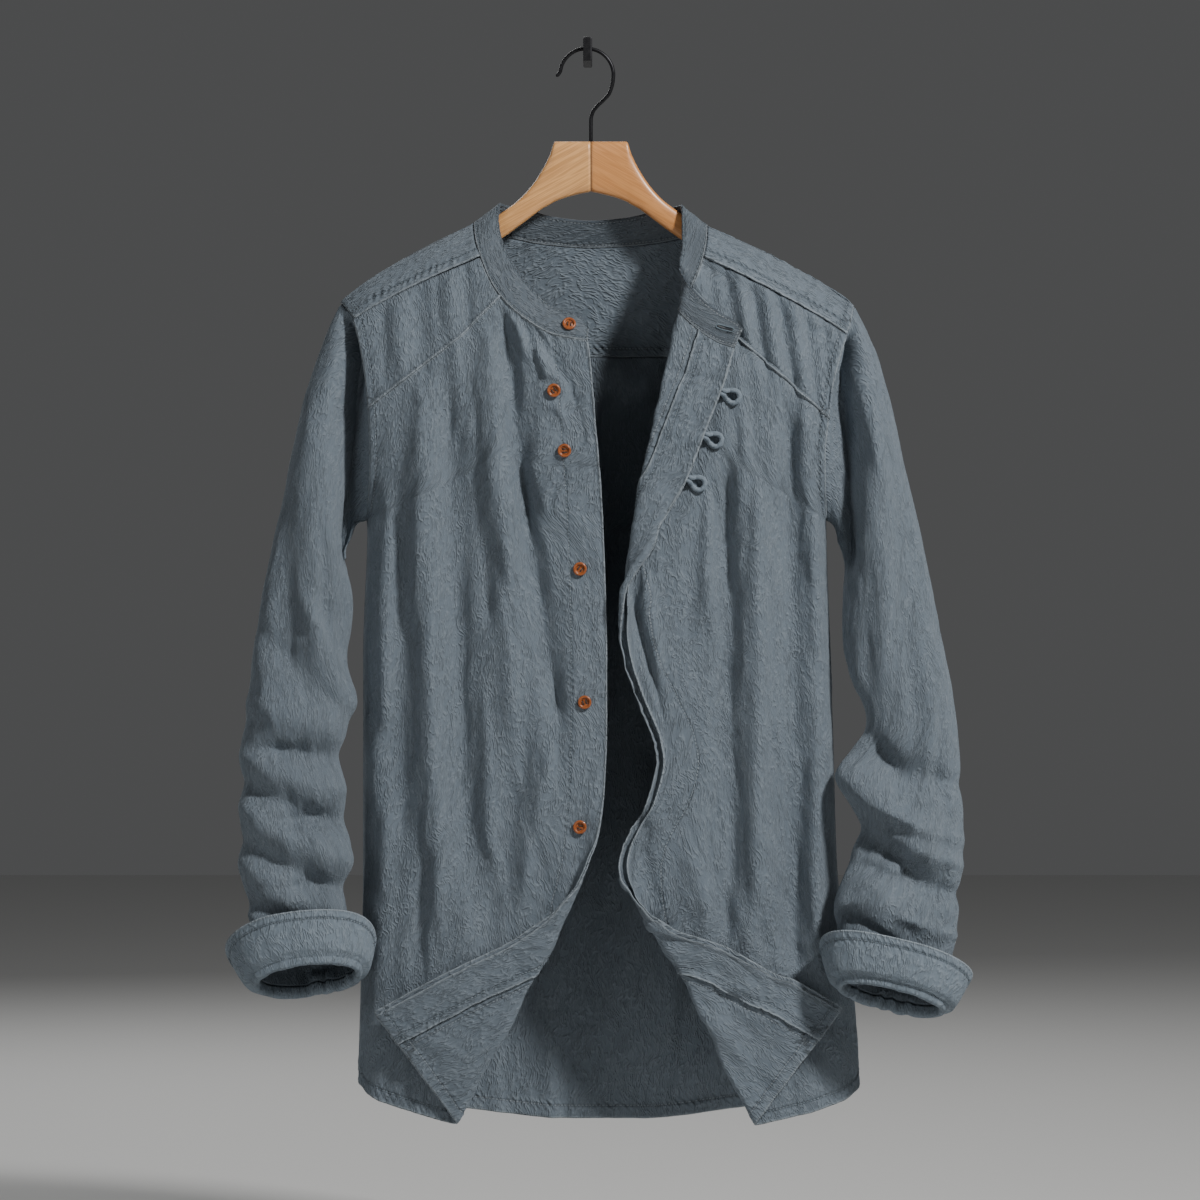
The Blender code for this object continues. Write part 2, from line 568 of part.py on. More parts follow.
def build_chest(side, name):
    """The panel between the front yoke seam, the diagonal seam, the armhole and the neck."""
    across = inset(11, 120)[None, :]
    down = inset(6, 55, 0.9)[:, None]
    yoke_neck = {-1: (-91.8, -173.8), 1: (98.6, -174.3)}[side]
    yoke_arm_z = {-1: -227.0, 1: -240.3}[side]
    yoke_arm = (float(body_edge_x(np.array(yoke_arm_z), side)), yoke_arm_z)
    low = diagonal_seam(side, across)
    top = np.stack(mix_columns(yoke_arm, yoke_neck, across), axis=-1)
    top[..., 1] = shoulder_z(top[..., 0]) - mix(shoulder_z(yoke_arm[0]) - yoke_arm[1],
                                                shoulder_z(yoke_neck[0]) - yoke_neck[1], across)
    flat = mix(top, low, down[..., None])
    arm_x = body_edge_x(flat[..., 1], side) - mix(top[:, :1, 0], low[:, :1, 0], down)
    neck_x, neck_z, _ = neck_seam(0, 6, 60) if side < 0 else neck_seam(19.5, 21, 60)
    neck_at = smooth(flat[:, -1:, 1], neck_z, neck_x) + side * 1.2
    pull = neck_at - flat[:, -1:, 0]
    flat[..., 0] += arm_x[:, :1] * (1 - across) + pull * across ** 3
    x, z = flat[..., 0], flat[..., 1]
    y = body_y(x, z, -1) - relief(x, z, CHEST_GATHERS[side])
    cloth_object(name, np.stack([x, y, z], axis=-1))


def mix_columns(start, end, share):
    return [mix(a, b, share) for a, b in zip(start, end)]


def build_yoke():
    """One piece from the front yoke seams over both shoulders and across the back.

    Each row of points runs out from the neck seam. Across the row both the place on the
    shoulder line and the turn round it change evenly.
    """
    count = 32
    x, z, face = neck_seam(YOKE_FIRST + 0.03, YOKE_LAST - 0.03, count)
    inner_turn = turn_at(x, z, face)
    share = np.linspace(0, 1, count)
    outer_x = np.interp(share, YOKE_OUTER["share"], YOKE_OUTER["x"])
    outer_z = np.interp(share, YOKE_OUTER["share"], YOKE_OUTER["z"])
    outer_face = np.where(np.interp(share, YOKE_OUTER["share"], YOKE_OUTER["face"]) < 0, -1, 1)
    outer_turn = turn_at(outer_x, outer_z, outer_face)
    out = inset(7, 120, 0.9)[:, None]
    points = over_shoulder(mix(x, outer_x, out), mix(inner_turn, outer_turn, out))
    cloth_object("yoke", points)


def build_back():
    """The back below its yoke seam, with long soft folds down it."""
    across = np.linspace(-1, 1, 17)[None, :]
    spread = 0.5 + 0.5 * np.sign(across) * (1 - (1 - np.abs(across)) ** 1.5)
    down = inset(16, 650)[:, None]
    hem_x = mix(-196.6, 232.6, spread)
    low = smooth(hem_x, HEM_BACK["x"], HEM_BACK["z"])
    z = mix(BACK_YOKE_Z - 0.5, low, down)
    left = body_edge_x(z[:, :1], -1) + np.where(z[:, :1] > UNDERARM_Z, 0.8, 0)
    right = body_edge_x(z[:, -1:], 1) - np.where(z[:, -1:] > UNDERARM_Z, 0.8, 0)
    x = mix(left, right, spread)
    y = body_y(x, z, 1) + relief(x, z, BACK_FOLDS) * np.clip((1 - np.abs(across)) * 8, 0, 1)
    cloth_object("back", np.stack([x, y, z], axis=-1))


def build_collar(front_points):
    """The standing band. On the loop side its end follows the turned-out front."""
    count = 40
    at = np.linspace(0, len(NECK["face"]) - 1, count)
    stations = np.arange(len(NECK["face"]))
    x, z, face = neck_seam(0, len(stations) - 1, count)
    seam_y = body_y(x, z, face)
    seam = np.stack([x, seam_y, z], axis=-1)
    top = np.stack([smooth(at, stations, NECK[name]) for name in ("top_x", "top_y", "top_z")],
                   axis=-1)
    turned = front_points[0, -8:]
    turned = polyline(np.vstack([seam[-1], turned]), np.linspace(0.12, 1, 8))
    seam = np.vstack([seam, turned])
    over = TURNED_TOP
    top = np.vstack([top, np.stack([over["x"], turned[:, 1] + over["back"], over["z"]], axis=-1)])
    rise = top - seam
    rise = rise / np.linalg.norm(rise, axis=-1, keepdims=True)
    share = np.linspace(0, 1, 3)[:, None, None]
    cloth_object("collar_band", mix(seam + rise * COLLAR_RAISE, top, share), COLLAR_WALL)


def sleeve_surface(side, down, angle):
    """A sleeve from its rings: angle 0 is the outer end, 90 degrees the front.

    The first ring is the armhole itself, and its shape fades into the plain rings.
    """
    rows = SLEEVE_RINGS[side]
    names = "outer_x outer_z inner_x inner_z middle_y half_depth"
    outer_x, outer_z, inner_x, inner_z, middle_y, half_depth = along(rows, names, down)
    share = 0.5 + 0.5 * np.cos(angle)
    swing = np.sign(np.sin(angle)) * np.abs(np.sin(angle)) ** 0.85
    x = mix(inner_x, outer_x, share)
    z = mix(inner_z, outer_z, share)
    y = middle_y - half_depth * swing
    arm_z = mix(rows["inner_z"][0], rows["outer_z"][0], share)
    arm_x = body_edge_x(arm_z, side)
    face = np.where(np.sin(angle) >= 0, -1, 1)
    arm_y = body_y(arm_x, arm_z, face)
    plain_x = mix(rows["inner_x"][0], rows["outer_x"][0], share)
    plain_y = rows["middle_y"][0] - rows["half_depth"][0] * swing
    fade = np.clip(1 - down / 0.3, 0, 1) ** 1.5
    x = x + (arm_x - plain_x) * fade + side * EDGE_GAP * np.clip(1 - down / 0.05, 0, 1)
    y = y + (arm_y - plain_y) * fade
    folds = relief(x, z, SLEEVE_FOLDS[side]) * np.clip(down / 0.06, 0, 1)
    x = x + side * folds * 0.35 * np.cos(angle)
    y = y - folds * swing * np.where(np.sin(angle) >= 0, 1, 0.6)
    return np.stack([x, y, z], axis=-1)


def cuff_frame(side):
    """The cuff's middle and its three directions: across, towards the viewer, and up."""
    sizes = CUFF[side]
    lean, roll = math.radians(sizes["lean"]), math.radians(sizes["roll"])
    across = np.array([math.cos(roll), 0, math.sin(roll)])
    towards = np.array([-math.sin(roll) * math.sin(lean), -math.cos(lean),
                        math.cos(roll) * math.sin(lean)])
    up = np.cross(across, -towards)
    up = up * np.sign(up[2])
    return np.array(sizes["middle"]), across, towards, up


def cuff_ring(side, angle, half_width, half_depth, height, shift=0.0):
    """One ring of a cuff at a height above its mouth."""
    middle, across, towards, up = cuff_frame(side)
    swing = np.sign(np.sin(angle)) * np.abs(np.sin(angle)) ** 0.9
    return (middle + up * height[..., None]
            + across * (side * half_width * np.cos(angle) + shift)[..., None]
            + towards * (half_depth * swing)[..., None])


def build_sleeve(side, half, name):
    """Half a sleeve tube, its front (1) or its back (-1), down inside the cuff to its mouth."""
    angle = half * np.linspace(0, math.pi, 9)[None, :]
    down = np.linspace(0, 0.93, 24)[:, None]
    points = sleeve_surface(side, down + angle * 0, angle + down * 0)
    mouth_width, mouth_depth = CUFF[side]["mouth"]
    steps = np.array([22.0, CUFF_INNER_LIP + TOUCH + 0.6])[:, None]
    inner = cuff_ring(side, angle + steps * 0, mouth_width - 2 * CUFF_FOLD_RADIUS + 0 * steps,
                      mouth_depth - 2 * CUFF_FOLD_RADIUS + 0 * steps, steps + angle * 0)
    bridge = mix(points[-1:], inner[:1], 0.5)
    points = np.concatenate([points, bridge, inner])
    points[:, [0, -1], 1] -= half * SLEEVE_GAP
    cloth_object(name, points)


def build_cuff(side, name):
    """The turned-up end: up inside the mouth, round its fold, then out and up to the rim."""
    sizes = CUFF[side]
    angle = np.arange(20)[None, :] * (math.tau / 20)
    mouth_width, mouth_depth = sizes["mouth"]
    rim_width, rim_depth = sizes["rim"]
    radius = CUFF_FOLD_RADIUS
    section = table("out height",
                    (-2 * radius, CUFF_INNER_LIP), (-2 * radius, 1.5),
                    (-1.6 * radius, -0.7 * radius), (-0.6 * radius, -radius),
                    (0, -0.4 * radius), (0.6 * radius, 1.4 * radius))
    rows = []
    for out, height in zip(section["out"], section["height"]):
        rows.append(cuff_ring(side, angle, mouth_width + out + angle * 0,
                              mouth_depth + out + angle * 0, height + angle * 0))
    for share in (0.4, 0.7, 1.0):
        rows.append(cuff_ring(side, angle, mix(mouth_width + 2, rim_width, share ** 0.55) + angle * 0,
                              mix(mouth_depth + 2, rim_depth, share ** 0.65) + angle * 0,
                              sizes["height"] * share + angle * 0,
                              sizes["rim_shift"] * share + angle * 0))
    cloth_object(name, np.concatenate(rows), closed_across=True)


def button_mesh(name):
    """A turned button with a raised rim and a dished middle, cut by four holes."""
    radius = BUTTON_DIAMETER / 2
    top = BUTTON_THICKNESS
    profile = [(0, top * 0.6), (radius * 0.56, top * 0.6), (radius * 0.72, top),
               (radius * 0.92, top * 0.9), (radius * 0.92, 0), (0, 0)]
    mesh = bpy.data.meshes.new(name + "_profile")
    mesh.from_pydata([(r * MM, 0, z * MM) for r, z in profile], [],
                     [(i, i + 1) for i in range(len(profile) - 1)])
    turned = bpy.data.objects.new(name + "_turned", mesh)
    bpy.data.collections[COLLECTION].objects.link(turned)
    screw = turned.modifiers.new("turn", "SCREW")
    screw.steps = screw.render_steps = 12
    screw.use_merge_vertices = True
    screw.merge_threshold = 0.00005
    bm = bmesh.new()
    half = BUTTON_HOLE_PITCH / 2
    for x in (-half, half):
        for y in (-half, half):
            made = bmesh.ops.create_cone(bm, cap_ends=True, segments=6, depth=8 * MM,
                                         radius1=BUTTON_HOLE / 2 * MM,
                                         radius2=BUTTON_HOLE / 2 * MM)
            bmesh.ops.translate(bm, verts=made["verts"], vec=(x * MM, y * MM, 0))
    holes = bpy.data.meshes.new(name + "_holes")
    bm.to_mesh(holes)
    bm.free()
    cutter = bpy.data.objects.new(name + "_cutter", holes)
    bpy.data.collections["cutters"].objects.link(cutter)
    cut = turned.modifiers.new("holes", "BOOLEAN")
    cut.object = cutter
    cut.solver = "EXACT"
    bpy.context.view_layer.update()
    done = bpy.data.meshes.new_from_object(
        turned.evaluated_get(bpy.context.evaluated_depsgraph_get()))
    done.name = name
    bpy.data.objects.remove(turned)
    bpy.data.objects.remove(cutter)
    return done


def seat_on(piece, x, z, radius):
    """Where a flat round thing lies on a piece's outer face: its middle and its normal."""
    graph = bpy.context.evaluated_depsgraph_get()
    tree = BVHTree.FromObject(piece, graph)
    spots = [(x, z)] + [(x + radius * math.cos(a), z + radius * math.sin(a))
                        for a in (math.tau * k / 8 for k in range(8))]
    hits = [tree.ray_cast(Vector((u, -300, v)) * MM, Vector((0, 1, 0))) for u, v in spots]
    hits = [hit for hit in hits if hit[0] is not None]
    normal = sum((hit[1] for hit in hits), Vector()).normalized()
    highest = max((hit[0] - hits[0][0]).dot(normal) for hit in hits)
    return hits[0][0] + normal * (highest + BUTTON_SEAT * MM), normal


def build_buttons():
    """Six buttons: the first on the collar band, the others down the front."""
    shared = button_mesh("button")
    bpy.context.view_layer.update()
    for number, (x, z) in enumerate(zip(BUTTONS["x"], BUTTONS["z"]), start=1):
        piece = bpy.data.objects["collar_band" if number == 1 else "front_button_side"]
        spot, normal = seat_on(piece, x, z, BUTTON_DIAMETER / 2)
        made = add_object(f"button_{number}", shared.copy(), "button")
        made.location = spot
        made.rotation_euler = normal.to_track_quat("Z", "Y").to_euler()


def build_loops(front_points):
    """Three eyes of turned cord that stand out square from the loop side's free edge."""
    edge = front_points[:, -1]
    for number, (z, length, height) in enumerate(zip(*LOOPS.values()), start=1):
        root, above, below = (np.array([np.interp(-at, -edge[:, 2], edge[:, axis])
                                        for axis in range(3)])
                              for at in (z, z + height / 2, z - height / 2))
        up = unit((above - below) * (1, 0, 1))
        out = np.array([up[2], 0, -up[0]])
        angle = np.linspace(-0.84 * math.pi, 0.84 * math.pi, 12)
        reach = (length / 2 - LOOP_CORD / 2) * np.cos(angle)
        along_out = reach - reach.min() + LOOP_CORD / 2 + LOOP_GAP
        across = (height / 2) * np.sin(angle) * (0.76 + 0.24 * np.cos(angle))
        points = root + along_out[:, None] * out + across[:, None] * up
        tube(f"loop_{number}", points, LOOP_CORD / 2, "cloth")


def tube(name, points, radius, finish):
    """A round tube along a line of points, with filled caps."""
    curve = bpy.data.curves.new(name, "CURVE")
    curve.dimensions = "3D"
    curve.bevel_depth = radius * MM
    curve.bevel_resolution = 2
    curve.use_fill_caps = True
    spline = curve.splines.new("POLY")
    spline.points.add(len(points) - 1)
    for slot, (x, y, z) in zip(spline.points, points * MM):
        slot.co = (x, y, z, 1)
    curve.materials.append(material(finish))
    made = bpy.data.objects.new(name, curve)
    bpy.data.collections[COLLECTION].objects.link(made)


def build_hanger_half(side, name):
    """Half of the wooden hanger: rounded sections from the mitre at the middle to the tip."""
    share = np.linspace(0, 1, 14)
    offset = smooth(share, np.linspace(0, 1, len(WOOD["x"])), WOOD["x"]) - WOOD_TOP_X
    top = smooth(offset + WOOD_TOP_X, WOOD["x"], WOOD["top"])
    low = smooth(offset + WOOD_TOP_X, WOOD["x"], WOOD["bottom"])
    x = WOOD_TOP_X + side * (offset + TOUCH / 2)
    if side < 0:
        ridge = shoulder_z(x) - WOOD_UNDER_RIDGE
        arm = np.clip((offset - WOOD_ARM_FROM + 12) / 20, 0, 1)
        depth = top - low
        top = mix(top, np.minimum(ridge, top + 8), arm)
        low = top - depth
    middle, half = (top + low) / 2, (top - low) / 2
    thick = WOOD_THICKNESS / 2 * np.interp(share, (0, 0.6, 1), (1, 0.92, 0.75))
    angle = (np.arange(10) + 0.5) * (math.tau / 10)
    rows = []
    for k in range(len(share)):
        round_y = np.sign(np.cos(angle)) * np.abs(np.cos(angle)) ** 0.55
        round_z = np.sign(np.sin(angle)) * np.abs(np.sin(angle)) ** 0.8
        rows.append(np.stack([x[k] + angle * 0, HANGER_Y + thick[k] * round_y,
                              middle[k] + half[k] * round_z], axis=-1))
    mesh = grid_mesh(name, np.array(rows), closed_across=True)
    bm = bmesh.new()
    bm.from_mesh(mesh)
    bmesh.ops.holes_fill(bm, edges=[e for e in bm.edges if e.is_boundary])
    bmesh.ops.recalc_face_normals(bm, faces=bm.faces)
    bm.to_mesh(mesh)
    bm.free()
    made = add_object(name, mesh, "wood")
    made.data.shade_smooth()


def build_hanger_hook():
    """The wire: a ball-ended arc over the wall hook, then a neck and a straight stem."""
    middle_x, middle_z = WIRE_ARC_MIDDLE
    angle = np.radians(np.linspace(172, -22, 17))
    arc = np.stack([middle_x + WIRE_ARC_RADIUS * np.cos(angle), angle * 0 + HANGER_Y,
                    middle_z + WIRE_ARC_RADIUS * np.sin(angle)], axis=-1)
    neck = np.stack([WIRE_NECK["x"][1:], WIRE_NECK["x"][1:] * 0 + HANGER_Y,
                     WIRE_NECK["z"][1:]], axis=-1)
    tip = arc[:1] + np.array([[-3.2, 0, -4.4]])
    tube("hanger_hook", np.vstack([tip, arc, neck]), WIRE_RADIUS, "black_metal")


def build_wall_hook():
    """A flat bar out from the wall with an upturned lip that holds the wire."""
    over = abs(WIRE_ARC_MIDDLE[0]) + HOOK_WIDTH / 2
    wire_low = WIRE_ARC_MIDDLE[1] + math.sqrt(WIRE_ARC_RADIUS ** 2 - over ** 2)
    top = wire_low - WIRE_RADIUS - TOUCH
    lip = HOOK_REACH + HOOK_LIP_THICKNESS
    outline = [(0, HOOK_LOW), (0, top), (lip, top), (lip, HOOK_LIP_TOP),
               (HOOK_REACH, HOOK_LIP_TOP), (HOOK_REACH, HOOK_LOW)]
    bm = bmesh.new()
    half = HOOK_WIDTH / 2
    near = [bm.verts.new((-half * MM, y * MM, z * MM)) for y, z in outline]
    face = bm.faces.new(near)
    made = bmesh.ops.extrude_face_region(bm, geom=[face])
    moved = [item for item in made["geom"] if isinstance(item, bmesh.types.BMVert)]
    bmesh.ops.translate(bm, verts=moved, vec=(HOOK_WIDTH * MM, 0, 0))
    bmesh.ops.recalc_face_normals(bm, faces=bm.faces)
    mesh = bpy.data.meshes.new("wall_hook")
    bm.to_mesh(mesh)
    bm.free()
    hook = add_object("wall_hook", mesh, "black_metal")
    bevel = hook.modifiers.new("soft_edges", "BEVEL")
    bevel.width = 1.2 * MM
    bevel.segments = 2


def main():
    for old in list(bpy.data.objects):
        bpy.data.objects.remove(old)
    for name in (COLLECTION, "cutters"):
        bpy.context.scene.collection.children.link(bpy.data.collections.new(name))
    button_front = build_front(-1, "front_button_side")
    loop_front = build_front(1, "front_loop_side")
    build_facing(-1, "facing_button_side", button_front)
    build_facing(1, "facing_loop_side", loop_front)
    build_chest(-1, "chest_button_side")
    build_chest(1, "chest_loop_side")
    build_yoke()
    build_back()
    build_collar(loop_front)
    for side, hand in ((-1, "left"), (1, "right")):
        build_sleeve(side, 1, f"sleeve_{hand}_front")
        build_sleeve(side, -1, f"sleeve_{hand}_back")
        build_cuff(side, f"cuff_{hand}")
        build_hanger_half(side, f"hanger_wood_{hand}")
    build_buttons()
    build_loops(loop_front)
    build_hanger_hook()
    build_wall_hook()


main()
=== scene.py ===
"""Looks of a mandarin collar shirt that hangs open on a wooden hanger from a small wall hook.

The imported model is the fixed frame. Every cloth piece is a thin shell on its solid's form with
creases, seams, hems, crinkle and stitching. Tables and sizes are in millimetres and meshes in
metres. The wall is the plane y = 0 and the viewer is on the -Y side. Left and right are the
viewer's, and the button side is on the left.
"""
from __future__ import annotations

import logging
import math
from dataclasses import dataclass, field, replace
from enum import Enum

import bmesh
import bpy
import numpy as np
from mathutils import Matrix, Vector


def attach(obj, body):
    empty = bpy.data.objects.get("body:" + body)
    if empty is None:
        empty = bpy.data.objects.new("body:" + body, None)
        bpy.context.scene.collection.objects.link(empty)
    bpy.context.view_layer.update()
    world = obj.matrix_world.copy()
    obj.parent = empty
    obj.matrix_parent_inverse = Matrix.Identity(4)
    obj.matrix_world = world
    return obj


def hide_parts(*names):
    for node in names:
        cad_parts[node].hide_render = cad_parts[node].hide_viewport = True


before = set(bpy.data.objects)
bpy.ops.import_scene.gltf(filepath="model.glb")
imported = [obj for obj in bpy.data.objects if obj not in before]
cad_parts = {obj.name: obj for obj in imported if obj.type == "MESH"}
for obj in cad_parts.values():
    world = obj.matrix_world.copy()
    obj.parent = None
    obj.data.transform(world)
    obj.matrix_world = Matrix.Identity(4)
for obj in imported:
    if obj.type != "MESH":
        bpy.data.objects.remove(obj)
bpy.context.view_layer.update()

LOG = logging.getLogger("shirt")
MM = 0.001
Array = np.ndarray
Columns = dict[str, Array]
HAND = {-1: "left", 1: "right"}
OPENING = {-1: "button_side", 1: "loop_side"}
BUTTONS = range(1, 7)


def table(names: str, *rows: tuple[float, ...]) -> Columns:
    """Put rows of numbers into named columns.

    Args:
        names: the columns' names, with spaces between them.
        rows: the rows, first one first.

    Returns:
        One array for each name.
    """
    return dict(zip(names.split(), np.array(rows, dtype=float).T))


def smooth(at: Array, xs: Array, ys: Array) -> Array:
    """Read a cubic through the points that never overshoots and is level beyond the ends.

    Args:
        at: where to read it.
        xs: the points' places, rising or falling.
        ys: the points' heights.

    Returns:
        The heights there. Each slope is the harmonic mean of the slopes beside its point.
    """
    if xs[0] > xs[-1]:
        xs, ys = xs[::-1], ys[::-1]
    step = np.diff(xs)
    rise = np.diff(ys) / step
    same = rise[:-1] * rise[1:] > 0
    total = np.where(same, rise[:-1] + rise[1:], 1.0)
    inner = np.where(same, 2 * rise[:-1] * rise[1:] / total, 0.0)
    slope = np.concatenate(([rise[0]], inner, [rise[-1]]))
    at = np.clip(at, xs[0], xs[-1])
    k = np.clip(np.searchsorted(xs, at) - 1, 0, len(step) - 1)
    s = (at - xs[k]) / step[k]
    start = ys[k] * (1 + 2 * s) * (1 - s) ** 2 + slope[k] * step[k] * s * (1 - s) ** 2
    end = ys[k + 1] * s * s * (3 - 2 * s) + slope[k + 1] * step[k] * s * s * (s - 1)
    return start + end


def along(columns: Columns, names: str, share: Array) -> list[Array]:
    """Read named columns smoothly at a share from 0 to 1 of the way down the rows."""
    knots = np.linspace(0, 1, len(columns[names.split()[0]]))
    return [smooth(share, knots, columns[name]) for name in names.split()]


def mix(a: Array | float, b: Array | float, share: Array | float) -> Array:
    """Blend evenly from a to b."""
    return a + (b - a) * share


def step_between(low: float, high: float, at: Array) -> Array:
    """Rise from 0 at low to 1 at high with soft ends."""
    share = np.clip((at - low) / (high - low), 0, 1)
    return share * share * (3 - 2 * share)


def close_ends(count: int, tight: float) -> Array:
    """Shares from 0 to 1 that lie closer at both ends: t - tight * sin(2 pi t) / (2 pi)."""
    share = np.linspace(0, 1, count)
    return share - tight * np.sin(2 * math.pi * share) / (2 * math.pi)


def unit(vectors: Array) -> Array:
    """Scale vectors to length 1."""
    return vectors / np.maximum(np.linalg.norm(vectors, axis=-1, keepdims=True), 1e-9)


def gaps(points: Array, axis: int = 0) -> Array:
    """Distances between neighbouring points of a line, or of a grid along one axis."""
    return np.linalg.norm(np.diff(points, axis=axis), axis=-1)


def run_along(line: Array) -> Array:
    """How far along a line each of its points lies."""
    return np.concatenate(([0], np.cumsum(gaps(line))))


def read_line(points: Array, knots: Array, at: Array) -> Array:
    """Read a line of points evenly between its knots."""
    return np.stack([np.interp(at, knots, column) for column in points.T], axis=-1)


def polyline(points: Array | list, share: Array) -> Array:
    """Read a line of points at shares of its length.

    Args:
        points: the line's points.
        share: where to read it, from 0 to 1.

    Returns:
        The places there.
    """
    points = np.asarray(points, dtype=float)
    knots = run_along(points)
    return read_line(points, knots / knots[-1], share)


def bell(offset: Array, width: float) -> Array:
    """1 where the offset is 0 and less on both sides: exp(-(offset / width) ** 2)."""
    return np.exp(-(offset / width) ** 2)


def rounded(wave: Array, power: float) -> Array:
    """A sine or cosine raised to a power, with its sign kept."""
    return np.sign(wave) * np.abs(wave) ** power


def turns(count: int) -> Array:
    """Even angles of a whole turn, in radians."""
    return np.arange(count) * (math.tau / count)


def wrap(grid: Array) -> Array:
    """Repeat a closed grid's first column after its last."""
    return np.concatenate([grid, grid[:, :1]], axis=1)


def grid_normals(points: Array, closed: bool = False) -> Array:
    """Work out a grid's unit normals.

    Args:
        points: the grid, rows by columns by 3.
        closed: whether the last column joins the first.

    Returns:
        For each point, the cross product of the mean steps down and across beside it.
    """
    if closed:
        wide = np.concatenate([points[:, -2:], points, points[:, :2]], axis=1)
        return grid_normals(wide)[:, 2:-2]
    ways = []
    for axis in (0, 1):
        steps = unit(np.diff(points, axis=axis))
        first, last = np.take(steps, [0], axis=axis), np.take(steps, [-1], axis=axis)
        ways.append(unit(np.concatenate([first, steps], axis=axis)
                         + np.concatenate([steps, last], axis=axis)))
    return unit(np.cross(ways[0], ways[1]))


def soft_noise(u: Array, v: Array, seed: int) -> Array:
    """Smooth noise between -1 and 1.

    Args:
        u: places across, in cells.
        v: places down, in cells.
        seed: which noise.

    Returns:
        Random heights at whole numbers, blended between them by the smoother step
        s * s * s * (s * (6 s - 15) + 10).
    """
    lattice = np.random.default_rng(seed).uniform(-1, 1, (256, 256))
    iu, iv = np.floor(u).astype(int), np.floor(v).astype(int)
    fu, fv = u - iu, v - iv
    su = fu ** 3 * (fu * (fu * 6 - 15) + 10)
    sv = fv ** 3 * (fv * (fv * 6 - 15) + 10)
    a, b = lattice[iu % 256, iv % 256], lattice[(iu + 1) % 256, iv % 256]
    c, d = lattice[iu % 256, (iv + 1) % 256], lattice[(iu + 1) % 256, (iv + 1) % 256]
    return mix(mix(a, b, su), mix(c, d, su), sv)


FOLDED_NOISE = ((14, 75, 0.36), (6, 15, 0.12))


def crumple(u: Array, v: Array, seed: int) -> Array:
    """Uneven small creases of crinkled cloth that run mostly down it.

    Args:
        u: millimetres across the cloth.
        v: millimetres down it.
        seed: which creases.

    Returns:
        Heights of about -1 to 1: long soft folds of smooth noise, and two smaller sizes of
        folded noise, 1 - 2.6 |noise|, all bent sideways by a slower noise.
    """
    bend = 9 * soft_noise(u / 40, v / 90, seed + 1) + 3 * soft_noise(u / 17, v / 23, seed + 2)
    height = 1.1 * soft_noise((u + bend) / 12, v / 190, seed + 3)
    for number, (wide, long, share) in enumerate(FOLDED_NOISE):
        noise = soft_noise((u + bend) / wide, (v + 0.4 * bend) / long, seed + 4 + number)
        height = height + share * (1 - 2.6 * np.abs(noise))
    return height


def creases(x: Array, z: Array, rows: Columns) -> Array:
    """Height of listed creases.

    Args:
        x: places across, in millimetres.
        z: places up.
        rows: one crease a row: both ends, how far its middle bows, its width on either side
            and its height, below 0 for a trough.

    Returns:
        The summed heights. Each crease is a bell, exp(-|offset / width| ** 1.8), that
        narrows and fades at both ends.
    """
    height = np.zeros_like(x)
    for x1, z1, x2, z2, bow, near, far, rise in zip(*rows.values()):
        length = math.hypot(x2 - x1, z2 - z1)
        ux, uz = (x2 - x1) / length, (z2 - z1) / length
        run = ((x - x1) * ux + (z - z1) * uz) / length
        mid = np.clip(run, 0, 1)
        off = (x - x1) * uz - (z - z1) * ux - bow * 4 * mid * (1 - mid)
        width = np.where(off < 0, near, far) * (0.7 + 0.6 * np.sqrt(4 * mid * (1 - mid) + 0.01))
        beyond = np.maximum(np.maximum(-run, run - 1), 0) * length
        height += rise * np.exp(-np.abs(off / width) ** 1.8 - (beyond / (1.4 * (near + far))) ** 2)
    return height


CREASE = "x1 z1 x2 z2 bow near far rise"

HANGER_Y = -52.0
FRONT_DEPTH = 50.0
BACK_DEPTH = 40.0
ROOF_DROP = 180.0
OVAL_POWER = 2.6
BODY_MIDDLE_X = 10.0
SIDE_GAP = 0.2
UNDERARM_Z = -397.8
BACK_YOKE_Z = -256.0
FRONT_TOP_Z = {-1: -303.0, 1: -312.0}
SIDE_CORNER_Z = -876.0
FACING_WIDTH = 36.0

# What the stitches and edges of a seam do to the cloth, in millimetres
EDGE_DROP_WIDTH = 1.5
BAND_SOFTNESS = 0.9
GROOVE_DEPTH, GROOVE_WIDTH = 0.4, 1.2
PUCKER_FADE = 7.0
FAR_AWAY = 99.0

# The cloth's material. The weave's thread spacing and the crinkle's sideways bend are in
# metres, the wave beside a stitch row and the row's half width in millimetres, and the turn
# between stitches in radians a millimetre
THREAD, SWAY = 0.0009, 0.02
WAVE_SPACING, STITCH_HALF = 6.6, 0.45
STITCH_TURN = 2.1
NOISE_ROUGHNESS = 0.55
# The pale end of the cloth's uneven dye, and the colour of the painted highlight on the folds of
# free edges and of the paler stitch dashes.
PALE_COTTON_AND_HIGHLIGHT = (0.75, 0.8, 0.82, 1)

# Which random creases each piece has; pieces of a pair add their side
SEEDS = dict(ripple=91, front=110, facing=130, chest=150, yoke=170, back=190, collar=210,
             sleeve=230, cuff=250)

